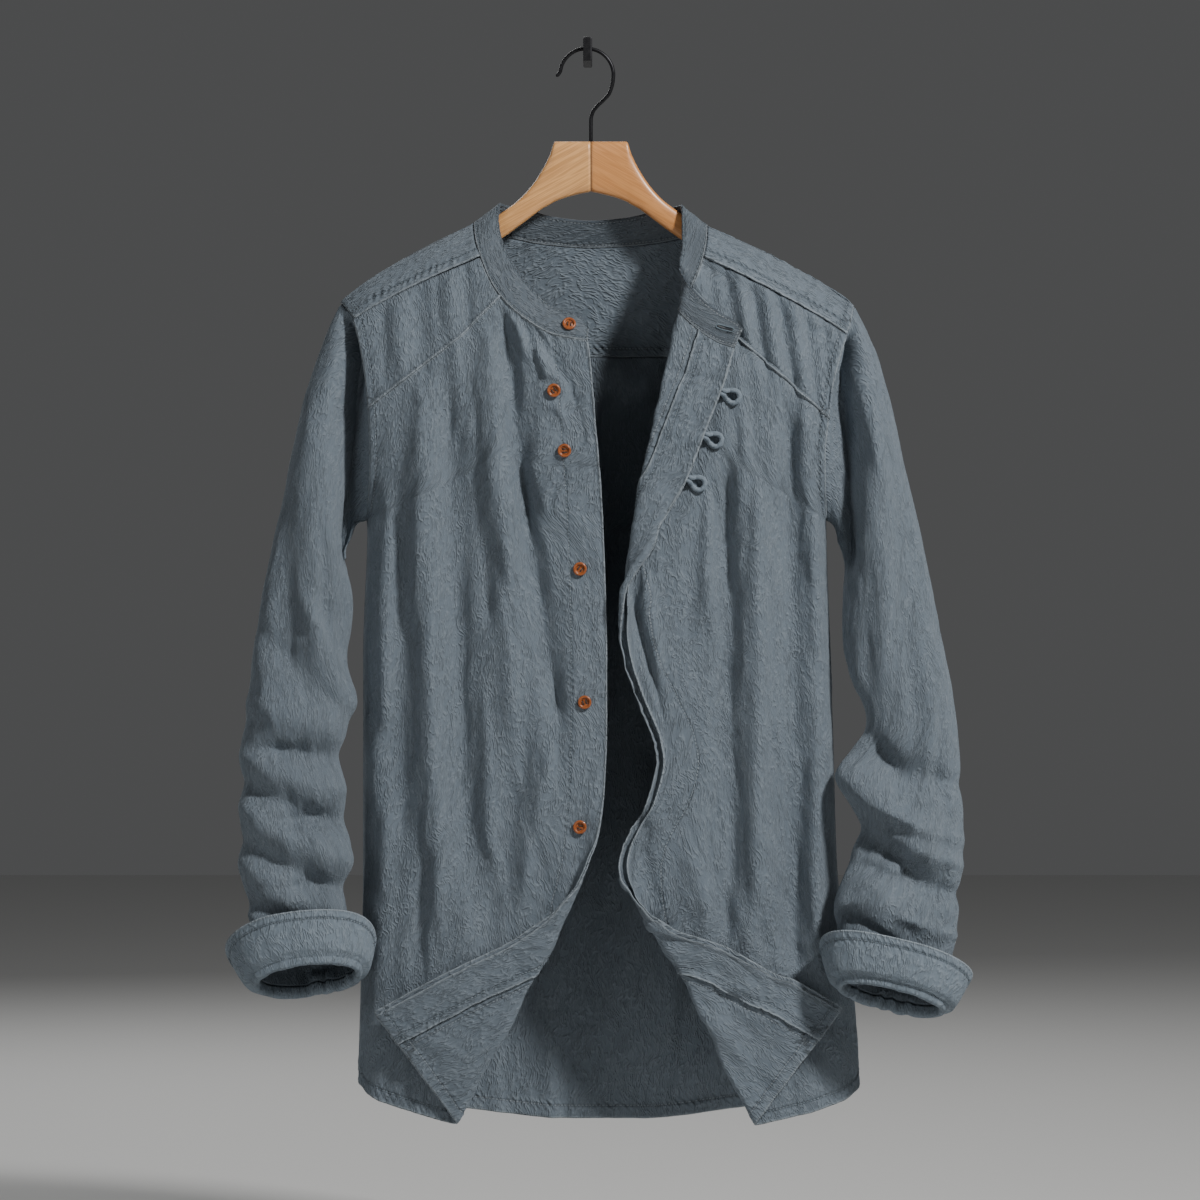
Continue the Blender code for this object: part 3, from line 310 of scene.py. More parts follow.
SHOULDER = table(
    "x z", (-260, -262), (-235, -238), (-214.8, -214.5), (-206.6, -205.5), (-188.8, -191.8),
    (-162.8, -176.3), (-133.5, -160.8), (-96.1, -142.8), (-60, -125), (0, -108), (60, -127),
    (102.8, -145.8), (140, -162.3), (174.7, -179.6), (200.8, -193.5), (221.6, -207.4),
    (235.5, -221), (270, -262))
OVAL_SIDE = table(
    "z left right", (-915, -197.5, 233.5), (-873, -196.5, 232.5), (-805, -194.5, 226.9),
    (-690, -192.1, 213.4), (-600, -192.1, 210.6), (-512, -192.1, 207.8), (-397.8, -188.3, 204.3),
    (-350, -212, 231), (-300, -232, 252), (-140, -262, 285))
ARMHOLE = table(
    "z left right", (-397.8, -188.3, 204.3), (-344, -185.6, 202.5), (-316, -186.2, 205),
    (-292, -187.8, 207.7), (-264.8, -191.3, 213.8), (-240, -196.4, 221.4), (-225, -201.5, 225.6),
    (-212, -211.5, 228.5))
HEM_FRONT = {
    -1: table(
        "x z", (-196.6, -876), (-192.5, -884.3), (-177.8, -892.5), (-145.4, -902.2),
        (-115.9, -910)),
    1: table(
        "x z", (147.2, -911), (157, -908.7), (189.5, -902.2), (218.8, -892.5), (230.2, -882.6),
        (232.6, -876)),
}
HEM_BACK = table(
    "x z", (-196.6, -876), (-185, -889), (-150, -899), (-103, -905), (-15, -913.6), (45, -913.6),
    (137, -903), (185, -895), (220, -886), (232.6, -876))
NECK = table(
    "seam_x seam_z face top_x top_y top_z", (0.2, -245.9, -1, 0.8, -91, -234),
    (-8, -245, -1, -7.7, -90, -223.5), (-29.5, -240.7, -1, -26.1, -88, -217.2),
    (-49.7, -229.8, -1, -42.9, -85, -204.6), (-66.5, -216.3, -1, -58, -81, -186.2),
    (-80.8, -197.9, -1, -68.2, -75, -169.3), (-91.6, -172.6, -1, -74.9, -67, -150.8),
    (-96, -158, -1, -76, -66, -139), (-97.3, -146.5, -1, -75.2, -60.5, -128),
    (-97.6, -143.4, 1, -74.5, -52, -126), (-88, -149, 1, -68, -42, -127.5),
    (-68, -154, 1, -50, -38, -131), (-35, -160, 1, -28, -35, -136.5),
    (2, -162.4, 1, 2, -34, -139.6), (40, -160.5, 1, 33, -35, -137), (74, -156, 1, 56, -38, -132),
    (95, -150.5, 1, 73, -42, -128.5), (102.4, -145.6, 1, 80, -52, -127.5),
    (102.3, -148.5, -1, 80.3, -60.5, -129.5), (101.5, -160, -1, 80.5, -66, -143),
    (97.5, -178, -1, 80.5, -76, -162), (89.5, -197, -1, 78, -88, -178))
TURNED_TOP = table(
    "x back z", (78.3, 3, -182.5), (80.2, 1, -188), (84.3, 0, -195), (90, -1, -202.5),
    (98, -1, -211), (109, 1, -220), (120.5, 3, -226.5), (132.7, 4, -233.2))
TURNED_SAG = 7.0
YOKE_STATIONS = (6.0, 19.75)
YOKE_OUTER = table(
    "share x z face", (0, -198.8, -226, -1), (0.12, -206, -217, -1), (0.17, -209, -213.6, -1),
    (0.218, -211.2, -210.9, 1), (0.25, -207.5, -216, 1), (0.3, -198.5, -232, 1),
    (0.34, -192.5, -256, 1), (0.42, -128, -256, 1), (0.51, 2, -256, 1), (0.6, 132, -256, 1),
    (0.68, 216.2, -256, 1), (0.72, 221, -240, 1), (0.76, 225.3, -224, 1), (0.8, 228, -213.6, 1),
    (0.84, 227, -218, -1), (0.9, 224.6, -229, -1), (1, 221.2, -239.4, -1))
NECK_BREAK = {-1: (-74.0, -208.0), 1: (86.5, -203.0)}
DIAGONAL_SEAM = {-1: ((-141.5, -268.2), (-109.2, -243.8)), 1: ((158.1, -269.8), (132.1, -248.1))}
FRONT_NECK = {-1: ((-66.5, -216.3), (-49.7, -229.8), (-29.5, -240.7)), 1: ((84.5, -209),)}
FRONT_CORNER = {-1: 0.62, 1: 0.86}
CHEST_TOP = {-1: (-227.0, (-91.8, -173.8)), 1: (-240.3, (98.6, -174.3))}
CHEST_NECK = {-1: (0, 6), 1: (19.5, 21)}
FLAP_EDGE = {-1: (-180.0, -812.0, 0.499), 1: (44.0, -722.0, -0.525)}
TURN_ROWS = {
    -1: table(
        "turn_x turn_z turn beyond radius slope", (-17.6, -242.9, 0, 18, 40, -9),
        (-15, -268, 0, 18, 40, 0), (-10.8, -318, 0, 18, 40, 0), (-4.8, -398, 0, 18, 40, 0),
        (-1.4, -512, 0, 18, 40, 0), (-1.4, -567, 0, 18, 40, 0), (-3.1, -621, 0, 18, 40, 0),
        (-6, -655, 22, 18, 30, 0), (-9.5, -685, 75, 18, 12, 0), (-14, -709, 130, 17, 7, 0),
        (-23.5, -735, 170, 21, 4.6, 0), (-45, -777, 180, 39.5, 3.6, 0),
        (-81.5, -847, 180, 86, 3.6, 1.5), (-115.9, -910, 180, 125.2, 3.6, 4.5)),
    1: table(
        "turn_x turn_z turn beyond radius slope", (81.5, -216, 180, 66.8, 3.6, 9.5),
        (73, -252, 180, 62.7, 3.6, 2), (60.9, -307, 180, 53.7, 3.6, 0),
        (52.4, -350, 180, 46, 3.6, 0), (43, -401.5, 172, 29.7, 4, 0), (39, -445, 138, 18, 6.5, 0),
        (44, -478, 80, 16, 11, 0), (49, -506, 35, 16, 24, 0), (62.3, -546, 0, 16, 40, 0),
        (77.6, -585, 0, 16, 40, 0), (80.2, -604, 0, 16, 40, 0), (71.7, -638, 0, 16, 40, 0),
        (59.8, -659, 0, 16, 40, 0), (51.3, -678, 0, 16, 40, 0), (48.5, -695, 20, 16, 30, 0),
        (49, -713, 75, 16, 12, 0), (56.5, -735, 132, 20, 7, 0), (69, -758, 172, 26.5, 4.4, 0),
        (95, -806.5, 180, 62.8, 3.6, 0.8), (116, -855, 180, 98, 3.6, 2.5),
        (147.2, -911, 180, 131.8, 3.6, 6)),
}
SLEEVE_RINGS = {
    -1: table(
        "outer_x outer_z inner_x inner_z middle_y half_depth",
        (-211.5, -212, -188.3, -397, -52, 33), (-221, -232, -191.5, -402, -53, 33),
        (-233, -262, -194, -413, -54, 33), (-243, -294, -197, -426, -56, 33),
        (-253.7, -341, -199.5, -444, -58, 33), (-265.6, -395, -201, -466, -61, 33),
        (-274.5, -445, -203.5, -490, -64, 32), (-283.1, -503, -208.3, -520, -68, 32),
        (-289.8, -563, -199.6, -555, -74, 31), (-294.8, -593, -208, -580, -78, 30),
        (-295, -629, -208, -620, -84, 30), (-295.8, -657, -203, -655, -90, 30),
        (-294.8, -690, -201.5, -687, -94, 29), (-291, -714, -205, -712, -98, 27),
        (-287, -736, -207, -728, -102, 25), (-283, -757, -200, -745, -105, 23),
        (-280, -780, -194, -770, -109, 22)),
    1: table(
        "outer_x outer_z inner_x inner_z middle_y half_depth", (228.5, -214, 204.3, -397, -52, 33),
        (239, -235, 208, -402, -53, 33), (250, -262, 211, -414, -54, 33),
        (259.7, -299, 214, -428, -56, 33), (269.9, -342, 217, -446, -59, 33),
        (283.5, -406, 218.5, -470, -63, 33), (295.4, -466, 219, -496, -68, 32),
        (306.4, -517, 222, -526, -73, 31), (313.5, -565, 236, -566, -79, 29),
        (316.5, -613, 215, -612, -87, 30), (317.5, -649, 229, -650, -92, 28),
        (315.5, -697, 221, -690, -98, 27), (313, -722, 213, -716, -102, 25),
        (311.5, -738, 211, -734, -105, 23), (309, -760, 213, -758, -108, 22),
        (307, -790, 214, -778, -112, 21)),
}
CUFF = {
    -1: dict(middle=(-236.5, -122.0, -785.0), lean=40.0, roll=7.0, mouth=(46.0, 25.0),
             rim=(63.0, 49.5), height=36.0, rim_shift=-2.0),
    1: dict(middle=(256.0, -127.0, -801.0), lean=28.0, roll=-14.0, mouth=(47.0, 25.0),
            rim=(65.0, 46.0), height=35.0, rim_shift=-4.0),
}
CUFF_FOLD_RADIUS = 2.6
CUFF_INNER_LIP = 7.0

# Pleats of the cuffs' mouths, by angle round them (a quarter turn is the front)
MOUTH_PLEATS = {
    -1: table(
        "angle width depth", (4.27, 0.08, 3.6), (4.51, 0.08, 4.0), (4.64, 0.07, 3.0),
        (3.7, 0.08, 2.2), (0.6, 0.12, 0.8), (2.3, 0.12, 0.8)),
    1: table(
        "angle width depth", (4.51, 0.08, 3.8), (4.77, 0.08, 4.2), (5.14, 0.08, 3.4),
        (3.9, 0.07, 2.4), (0.7, 0.12, 0.8), (2.4, 0.12, 0.8)),
}


FRONT_STRENGTH = {-1: (2.4, 1.7), 1: (2.8, 2.6)}
FRONT_CREASES = {
    -1: table(
        CREASE, (-68, -246, -52, -380, 1, 8, 9, -4.6), (-52, -380, -27, -545, 0, 9, 10, -4.4),
        (-27, -545, -24, -600, 0, 7, 7, -1.5), (-82, -262, -66, -430, 2, 9, 10, 3),
        (-115, -330, -100, -690, 3, 15, 12, -5), (-140, -300, -128, -700, -2, 10, 13, 3),
        (-156, -430, -155, -640, 0, 13, 13, -3), (-40, -262, -24, -305, 0, 5, 5, 2.5),
        (-60, -620, -92, -840, 3, 14, 17, -4), (-51, -238, -34, -284, 1, 4, 4, -1.3),
        (-39, -244, -22, -276, 0, 3, 4, -1), (-27, -249, -12, -292, 1, 3, 4, -0.9),
        (-62, -230, -48, -262, 0, 3, 4, 1.6), (-95, -300, -84, -470, 2, 4, 8, -1.6),
        (-72, -470, -60, -610, -2, 4, 8, 1.8), (-142, -330, -146, -470, 1, 5, 7, 1.6),
        (-170, -390, -172, -560, 1, 5, 6, 1.8), (-100, -700, -112, -850, -2, 8, 6, 2.2),
        (-136, -700, -150, -860, 2, 7, 9, -2.4), (-172, -660, -180, -850, 1, 8, 6, 2),
        (-36, -610, -52, -700, 2, 6, 8, 2), (-88, -560, -80, -680, 0, 5, 6, 1.4),
        (-122, -560, -118, -640, 0, 4, 6, -1.2)),
    1: table(
        CREASE, (120, -380, 119, -810, 2, 11, 10, -4.2), (101, -500, 104, -690, 1, 8, 8, -3),
        (107, -381, 108, -436, 0, 6, 6, -2.6), (103, -400, 101, -780, 0, 8, 7, 3.4),
        (144, -400, 142, -780, -3, 12, 12, 4.6), (172, -330, 174, -760, 2, 11, 11, -4.2),
        (194, -400, 197, -800, 0, 8, 9, 3.4), (150, -760, 176, -890, 3, 14, 14, -4),
        (135, -330, 130, -430, 1, 5, 8, 1.8), (158, -340, 160, -450, 0, 5, 6, 1.6),
        (185, -320, 190, -430, 1, 6, 6, 1.6), (118, -560, 116, -700, -1, 4, 6, 1.4),
        (158, -600, 166, -740, 2, 6, 8, -2), (184, -620, 180, -760, 1, 6, 8, -1.8),
        (128, -740, 142, -860, 2, 8, 7, 2.2), (196, -800, 206, -880, 1, 8, 8, -2),
        (88, -690, 104, -790, 2, 6, 8, 2), (41, -474, 67, -585, -1, 3, 3, -1.7),
        (47, -440, 60, -520, 0, 4, 5, 1.6)),
}
CHEST_CREASES = {
    -1: table(
        CREASE, (-142, -197, -140, -258, 1, 8, 8, -2.4), (-161, -205, -158, -262, 0, 7, 7, 1.8),
        (-117, -190, -112, -250, 1, 7, 7, 1.8), (-174, -214, -172, -268, 0, 4, 5, -1.6),
        (-128, -188, -126, -228, 0, 3, 4, -1.2), (-104, -184, -100, -232, 0, 4, 5, -1.6)),
    1: table(
        CREASE, (104, -180, 110, -232, 0, 5, 6, -1.8), (118, -188, 127, -240, 1, 5, 6, -2.2),
        (129, -190, 138, -240, 0, 4, 6, 1.8), (141, -200, 151, -262, 1, 5, 6, -2.4),
        (153, -204, 163, -262, 0, 4, 6, 1.8), (164, -212, 175, -276, 1, 5, 6, -2.2),
        (176, -216, 186, -278, 0, 4, 6, 1.7), (187, -224, 195, -290, 1, 5, 6, -2),
        (203, -234, 206, -296, 0, 4, 6, -1.6)),
}
FLAP_CREASES = {
    -1: table(
        CREASE, (-100, -800, -70, -790, 0, 4, 6, 1.4), (-140, -838, -118, -846, 1, 4, 6, 1.2),
        (-60, -775, -46, -800, 0, 5, 5, -1.4), (-128, -862, -118, -888, 0, 6, 8, -1.6),
        (-86, -826, -98, -862, 2, 5, 8, 1.6), (-150, -830, -138, -852, 0, 4, 4, -1)),
    1: table(
        CREASE, (86, -782, 118, -792, 1, 4, 6, 1.6), (118, -802, 150, -806, -1, 4, 5, -1.4),
        (150, -820, 182, -822, 1, 4, 6, 1.3), (112, -812, 130, -852, 2, 6, 8, 1.8),
        (140, -838, 150, -878, 1, 6, 8, -1.8), (162, -826, 172, -850, 0, 5, 6, 1.3),
        (80, -235, 112, -244, 1, 4, 5, 1.2), (72, -272, 106, -280, -1, 4, 6, -1.4),
        (64, -318, 96, -330, 1, 4, 6, 1.2), (56, -362, 84, -368, 0, 4, 5, -1)),
}
BACK_CREASES = table(
    CREASE, (-120, -262, -112, -700, 4, 15, 14, -6), (-84, -380, -80, -800, 3, 12, 13, 4),
    (-40, -262, -30, -640, -3, 13, 15, -5), (2, -420, 6, -860, 2, 15, 16, 4),
    (52, -262, 44, -720, 3, 14, 13, -6), (92, -400, 96, -820, -3, 12, 13, 4),
    (138, -262, 128, -690, 3, 15, 14, -5), (170, -560, 178, -840, 2, 12, 13, 3),
    (-152, -330, -150, -600, 2, 6, 9, -2.2), (-62, -450, -56, -700, 1, 5, 8, 2),
    (22, -330, 26, -520, 1, 5, 7, 2), (72, -560, 70, -840, -2, 6, 9, -2.4),
    (112, -330, 108, -520, 1, 6, 8, 1.8), (-20, -700, -28, -890, 2, 8, 10, -2.6),
    (158, -380, 156, -540, 0, 5, 8, 2), (-100, -720, -112, -880, -2, 8, 9, -2.4),
    (120, -760, 130, -890, 2, 8, 9, -2.4), (-140, -640, -146, -800, 1, 7, 6, 2),
    (-176, -420, -176, -640, 1, 6, 6, 2), (186, -400, 188, -600, 0, 6, 7, -2))
SLEEVE_CREASES = {
    -1: table(
        CREASE, (-228, -490, -201, -546, 2, 8, 12, 6), (-258, -512, -222, -546, 2, 12, 12, -4),
        (-280, -556, -204, -578, 3, 12, 13, 4.5), (-252, -594, -196, -598, 2, 9, 11, -6.5),
        (-282, -602, -206, -626, 4, 12, 13, 5), (-292, -622, -232, -646, 2, 9, 10, -4.5),
        (-242, -652, -196, -650, 1, 9, 10, -6.5), (-284, -646, -206, -684, 4, 12, 13, 5),
        (-290, -672, -232, -700, 2, 9, 10, -4.5), (-240, -708, -198, -706, 1, 8, 9, -5.5),
        (-284, -694, -208, -728, 3, 11, 12, 4), (-290, -722, -242, -740, 1, 8, 8, -4),
        (-262, -380, -252, -500, 2, 12, 11, -4), (-236, -330, -232, -470, 1, 11, 12, 4),
        (-200, -240, -198, -415, 0, 10, 11, -26), (-214, -250, -222, -340, 2, 5, 8, 2.2),
        (-226, -420, -220, -500, 1, 5, 8, -2), (-282, -500, -266, -560, 3, 6, 8, 2.4),
        (-284, -734, -252, -748, 1, 5, 6, 3)),
    1: table(
        CREASE, (214, -556, 242, -588, 2, 11, 11, -8), (238, -600, 300, -618, 3, 12, 12, -6),
        (216, -618, 262, -648, 2, 10, 11, 7), (262, -648, 302, -664, 0, 9, 9, 4),
        (222, -655, 262, -684, 1, 8.5, 9.5, -8.5), (262, -668, 304, -686, 1, 7, 8, 4.5),
        (250, -696, 306, -712, 2, 9, 10, -6), (258, -694, 214, -728, 0, 6, 8, 5),
        (232, -722, 296, -728, 1, 10, 12, 2.4), (222, -734, 250, -748, 0, 4, 5, -3.4),
        (268, -360, 276, -540, 2, 12, 11, -3), (246, -330, 250, -500, 1, 11, 12, 4),
        (222, -262, 220, -415, 0, 10, 10, -24), (232, -250, 244, -340, 2, 5, 8, 2.2),
        (240, -440, 238, -550, 1, 5, 8, -2), (300, -520, 290, -590, 2, 6, 8, 2),
        (276, -738, 304, -748, 1, 5, 6, 3)),
}


def shoulder_z(x: Array) -> Array:
    """Height of the shoulder line."""
    return smooth(x, SHOULDER["x"], SHOULDER["z"])


def oval_share(x: Array, z: Array) -> Array:
    """Depth share of the body's flat oval section.

    Args:
        x: places across.
        z: places up.

    Returns:
        (1 - offset ** power) ** (1 / power): 1 in the middle and 0 at the sides.
    """
    left = smooth(z, OVAL_SIDE["z"], OVAL_SIDE["left"])
    right = smooth(z, OVAL_SIDE["z"], OVAL_SIDE["right"])
    reach = np.where(x < BODY_MIDDLE_X, BODY_MIDDLE_X - left, right - BODY_MIDDLE_X)
    off = np.clip(np.abs(x - BODY_MIDDLE_X) / reach, 0, 1)
    return (1 - off ** OVAL_POWER) ** (1 / OVAL_POWER)


def body_y(x: Array, z: Array, face: Array | int) -> Array:
    """Depth of the worn form on its front (face -1) or back (face 1).

    Args:
        x: places across.
        z: places up.
        face: one face for all places, or one for each.

    Returns:
        The hanger's depth plus the oval's depth times a quarter round that starts at the
        shoulder line and is full a roof's drop below it.
    """
    drop = np.clip(shoulder_z(x) - z, 0, ROOF_DROP)
    roof = np.sqrt(1 - (1 - drop / ROOF_DROP) ** 2)
    depth = np.where(np.asarray(face) < 0, FRONT_DEPTH, BACK_DEPTH)
    return HANGER_Y + face * (depth * roof * oval_share(x, z) + SIDE_GAP)


def over_shoulder(x: Array, turn: Array) -> Array:
    """A point of the worn form from its angle round the shoulder line, 0 on top.

    Args:
        x: places across.
        turn: angles round the shoulder line, below 0 in front.

    Returns:
        The points there.
    """
    z = shoulder_z(x) - ROOF_DROP * (1 - np.cos(turn))
    depth = np.where(turn < 0, FRONT_DEPTH, BACK_DEPTH)
    y = HANGER_Y + depth * np.sin(turn) * oval_share(x, z)
    return np.stack([x, y, z], axis=-1)


def turn_at(x: Array, z: Array, face: Array) -> Array:
    """Angle round the shoulder line at a place."""
    drop = np.clip(shoulder_z(x) - z, 0, ROOF_DROP)
    return face * np.arccos(1 - drop / ROOF_DROP)


def body_edge_x(z: Array | float, side: int) -> Array:
    """The armhole seam above the underarm, and the side seam below it.

    Args:
        z: places up.
        side: -1 on the left and 1 on the right.

    Returns:
        The seam's x there.
    """
    name = "left" if side < 0 else "right"
    arm = smooth(z, ARMHOLE["z"], ARMHOLE[name])
    return np.where(np.asarray(z) > UNDERARM_Z, arm, smooth(z, OVAL_SIDE["z"], OVAL_SIDE[name]))


def neck_seam(first: float, last: float, count: int) -> tuple[Array, ...]:
    """The neck seam's x, z and face between two of its stations, evenly by station.

    Args:
        first: the first station, a row of the neck's table.
        last: the last station.
        count: how many places to read.

    Returns:
        The x, z and face of each place.
    """
    at = np.linspace(first, last, count)
    stations = np.arange(len(NECK["face"]))
    x = smooth(at, stations, NECK["seam_x"])
    z = smooth(at, stations, NECK["seam_z"])
    face = np.where(np.interp(at, stations, NECK["face"]) < 0, -1, 1)
    return x, z, face


def at_edge(z: float, side: int) -> tuple[float, float]:
    """The x and z of a place on the armhole or side seam."""
    return float(body_edge_x(np.array(z), side)), z


def diagonal_seam(side: int, share: Array) -> Array:
    """The seam under the chest panel, from the armhole up to the neck."""
    start = at_edge(FRONT_TOP_Z[side], side)
    return polyline([start, *DIAGONAL_SEAM[side], NECK_BREAK[side]], share)


def front_top(side: int, share: Array) -> Array:
    """The front's top edge: up the diagonal seam, then down the neck seam.

    Args:
        side: -1 on the left and 1 on the right.
        share: shares of the way from armhole to turning line.

    Returns:
        The x and z there.
    """
    rows = TURN_ROWS[side]
    end = (rows["turn_x"][0], rows["turn_z"][0])
    corner = FRONT_CORNER[side]
    first = diagonal_seam(side, np.clip(share / corner, 0, 1))
    second = polyline([NECK_BREAK[side], *FRONT_NECK[side], end],
                      np.clip((share - corner) / (1 - corner), 0, 1))
    return np.where((share < corner)[..., None], first, second)


def low_end(side: int, which: int) -> Array:
    """The front hem's outer end (0) or the end where the cloth turns (1).

    Args:
        side: -1 on the left and 1 on the right.
        which: 0 or 1.

    Returns:
        Its x and z.
    """
    hem = HEM_FRONT[side]
    last = which if side < 0 else 1 - which
    return np.array([hem["x"][-last], hem["z"][-last]])


def front_flat(side: int, down: Array, across: Array) -> Array:
    """The front's x and z between its outer edge (across 0) and where it turns (across 1).

    Args:
        side: -1 on the left and 1 on the right.
        down: shares of the way from neck to hem.
        across: shares of the way from the outer edge to the turning line.

    Returns:
        Points on straight rows from the side to the turning line. The bent top edge and the
        hem are added to the rows near them, by (1 - down) ** 3 and down ** 6.
    """
    rows = TURN_ROWS[side]
    turn_x, turn_z = along(rows, "turn_x turn_z", down)
    edge_z = np.interp(turn_z, (rows["turn_z"][-1], rows["turn_z"][0]),
                       (SIDE_CORNER_Z, FRONT_TOP_Z[side]))
    edge = np.stack([body_edge_x(edge_z, side), edge_z], axis=-1)
    top = front_top(side, across)
    hem = HEM_FRONT[side]
    order = slice(None) if side < 0 else slice(None, None, -1)
    low = polyline(np.stack([hem["x"][order], hem["z"][order]], axis=-1), across)
    top_start, top_end = front_top(side, np.array([0.0, 1.0]))
    straight_top = mix(top_start, top_end, across[..., None])
    straight_low = mix(low_end(side, 0), low_end(side, 1), across[..., None])
    flat = mix(edge, np.stack([turn_x, turn_z], axis=-1), across[..., None])
    flat = flat + (top - straight_top) * ((1 - down) ** 3)[..., None]
    return flat + (low - straight_low) * (down ** 6)[..., None]


class Signal:
    """A number that a node tree works out. Written as a formula, it adds the Math nodes."""

    def __init__(self, tree: Tree, socket: bpy.types.NodeSocket) -> None:
        """Keep the tree and the output that carries the number."""
        self.tree, self.socket = tree, socket

    def __add__(self, other: Signal | float) -> Signal:
        """Add another number."""
        return self.tree.calc("ADD", self, other)

    def __sub__(self, other: Signal | float) -> Signal:
        """Take another number away."""
        return self.tree.calc("SUBTRACT", self, other)

    def __mul__(self, other: Signal | float) -> Signal:
        """Multiply by another number."""
        return self.tree.calc("MULTIPLY", self, other)


class Tree:
    """Adds nodes to one node tree with short calls."""

    def __init__(self, tree: bpy.types.NodeTree) -> None:
        """Keep the tree."""
        self.tree = tree

    def feed(self, socket: bpy.types.NodeSocket, value: object) -> None:
        """Link an output to an input socket, or set a plain value on it.

        Args:
            socket: the input.
            value: a Signal, another node's output or a plain value.
        """
        value = value.socket if isinstance(value, Signal) else value
        if isinstance(value, bpy.types.NodeSocket):
            self.tree.links.new(value, socket)
        else:
            socket.default_value = value

    def add(self, kind: str, inputs: dict | None = None, **settings: object) -> bpy.types.Node:
        """Add a node.

        Args:
            kind: its type's name after "ShaderNode".
            inputs: values or other nodes' outputs, by socket name or number.
            settings: the node's own settings.

        Returns:
            The node.
        """
        made = self.tree.nodes.new("ShaderNode" + kind)
        for name, value in settings.items():
            setattr(made, name, value)
        for key, value in (inputs or {}).items():
            self.feed(made.inputs[key], value)
        return made

    def calc(self, operation: str, *values: object) -> Signal:
        """Add a Math node and give its result."""
        made = self.add("Math", dict(enumerate(values)), operation=operation)
        return Signal(self, made.outputs[0])

    def split(self, vector: bpy.types.NodeSocket) -> list[Signal]:
        """Take a vector apart into its three numbers."""
        return [Signal(self, part) for part in self.add("SeparateXYZ", {0: vector}).outputs]

    def noise(self, place: bpy.types.NodeSocket, scale: tuple[float, float, float],
              detail: float = 2.0, distort: float = 0.0, shift: float = 0.0) -> Signal:
        """Add noise of its own size in each direction and give its value.

        Args:
            place: the coordinates to read.
            scale: cells per metre in each direction.
            detail: how many finer layers it has.
            distort: how much it bends.
            shift: moves the pattern.

        Returns:
            The noise between 0 and 1.
        """
        moved = self.add("Mapping", {"Vector": place, "Location": (shift,) * 3, "Scale": scale})
        made = self.add("TexNoise", {"Vector": moved.outputs[0], "Scale": 1.0, "Detail": detail,
                                     "Roughness": NOISE_ROUGHNESS, "Distortion": distort})
        return Signal(self, made.outputs["Fac"])

    def ridged(self, value: Signal, sharp: float) -> Signal:
        """Fold noise at its middle so that it makes narrow crests: 1 - sharp * |noise - 0.5|."""
        away = self.calc("ABSOLUTE", value - 0.5) * sharp
        return self.calc("MAXIMUM", self.calc("SUBTRACT", 1.0, away), 0.0)

    def bell(self, distance: Signal, width: float) -> Signal:
        """Give 1 at distance 0 and less on both sides: exp(-(distance / width) ** 2)."""
        share = self.calc("DIVIDE", distance, width)
        return self.calc("EXPONENT", share * share * -1.0)

    def blend(self, share: object, a: object, b: object, kind: str = "MIX") -> bpy.types.NodeSocket:
        """Blend two colours by a share."""
        return self.add("Mix", {0: share, 6: a, 7: b}, data_type="RGBA", blend_type=kind).outputs[2]

    def dress(self, shader: bpy.types.Node, colour: bpy.types.NodeSocket, height: object = None,
              strength: float = 1.0, distance: float = 0.0) -> None:
        """Link a colour to a shader and, where a height is given, a bump of it in metres.

        Args:
            shader: the Principled node.
            colour: its colour.
            height: what the bump follows.
            strength: how strong the bump is.
            distance: how high it is, in metres.
        """
        self.feed(shader.inputs["Base Color"], colour)
        if height is not None:
            bump = self.add("Bump", {"Height": height, "Strength": strength, "Distance": distance})
            self.feed(shader.inputs["Normal"], bump.outputs[0])


def opaque(shade: tuple[float, float, float], factor: float = 1.0) -> tuple[float, ...]:
    """A colour with its alpha, made paler or deeper by a factor."""
    return (*(part * factor for part in shade), 1)


def effect(name: str, inputs: dict[str, str], outputs: dict[str, str]
           ) -> tuple[bpy.types.NodeTree, Tree, bpy.types.Node, bpy.types.Node]:
    """Start a shader node group.

    Args:
        name: its name.
        inputs: kinds of socket by name, such as Vector, Color or Float.
        outputs: the same for what it gives.

    Returns:
        The group, its Tree, its input node and its output node.
    """
    group = bpy.data.node_groups.new(name, "ShaderNodeTree")
    for way, sockets in (("INPUT", inputs), ("OUTPUT", outputs)):
        for label, kind in sockets.items():
            group.interface.new_socket(name=label, in_out=way, socket_type="NodeSocket" + kind)
    enter = group.nodes.new("NodeGroupInput")
    leave = group.nodes.new("NodeGroupOutput")
    return group, Tree(group), enter, leave


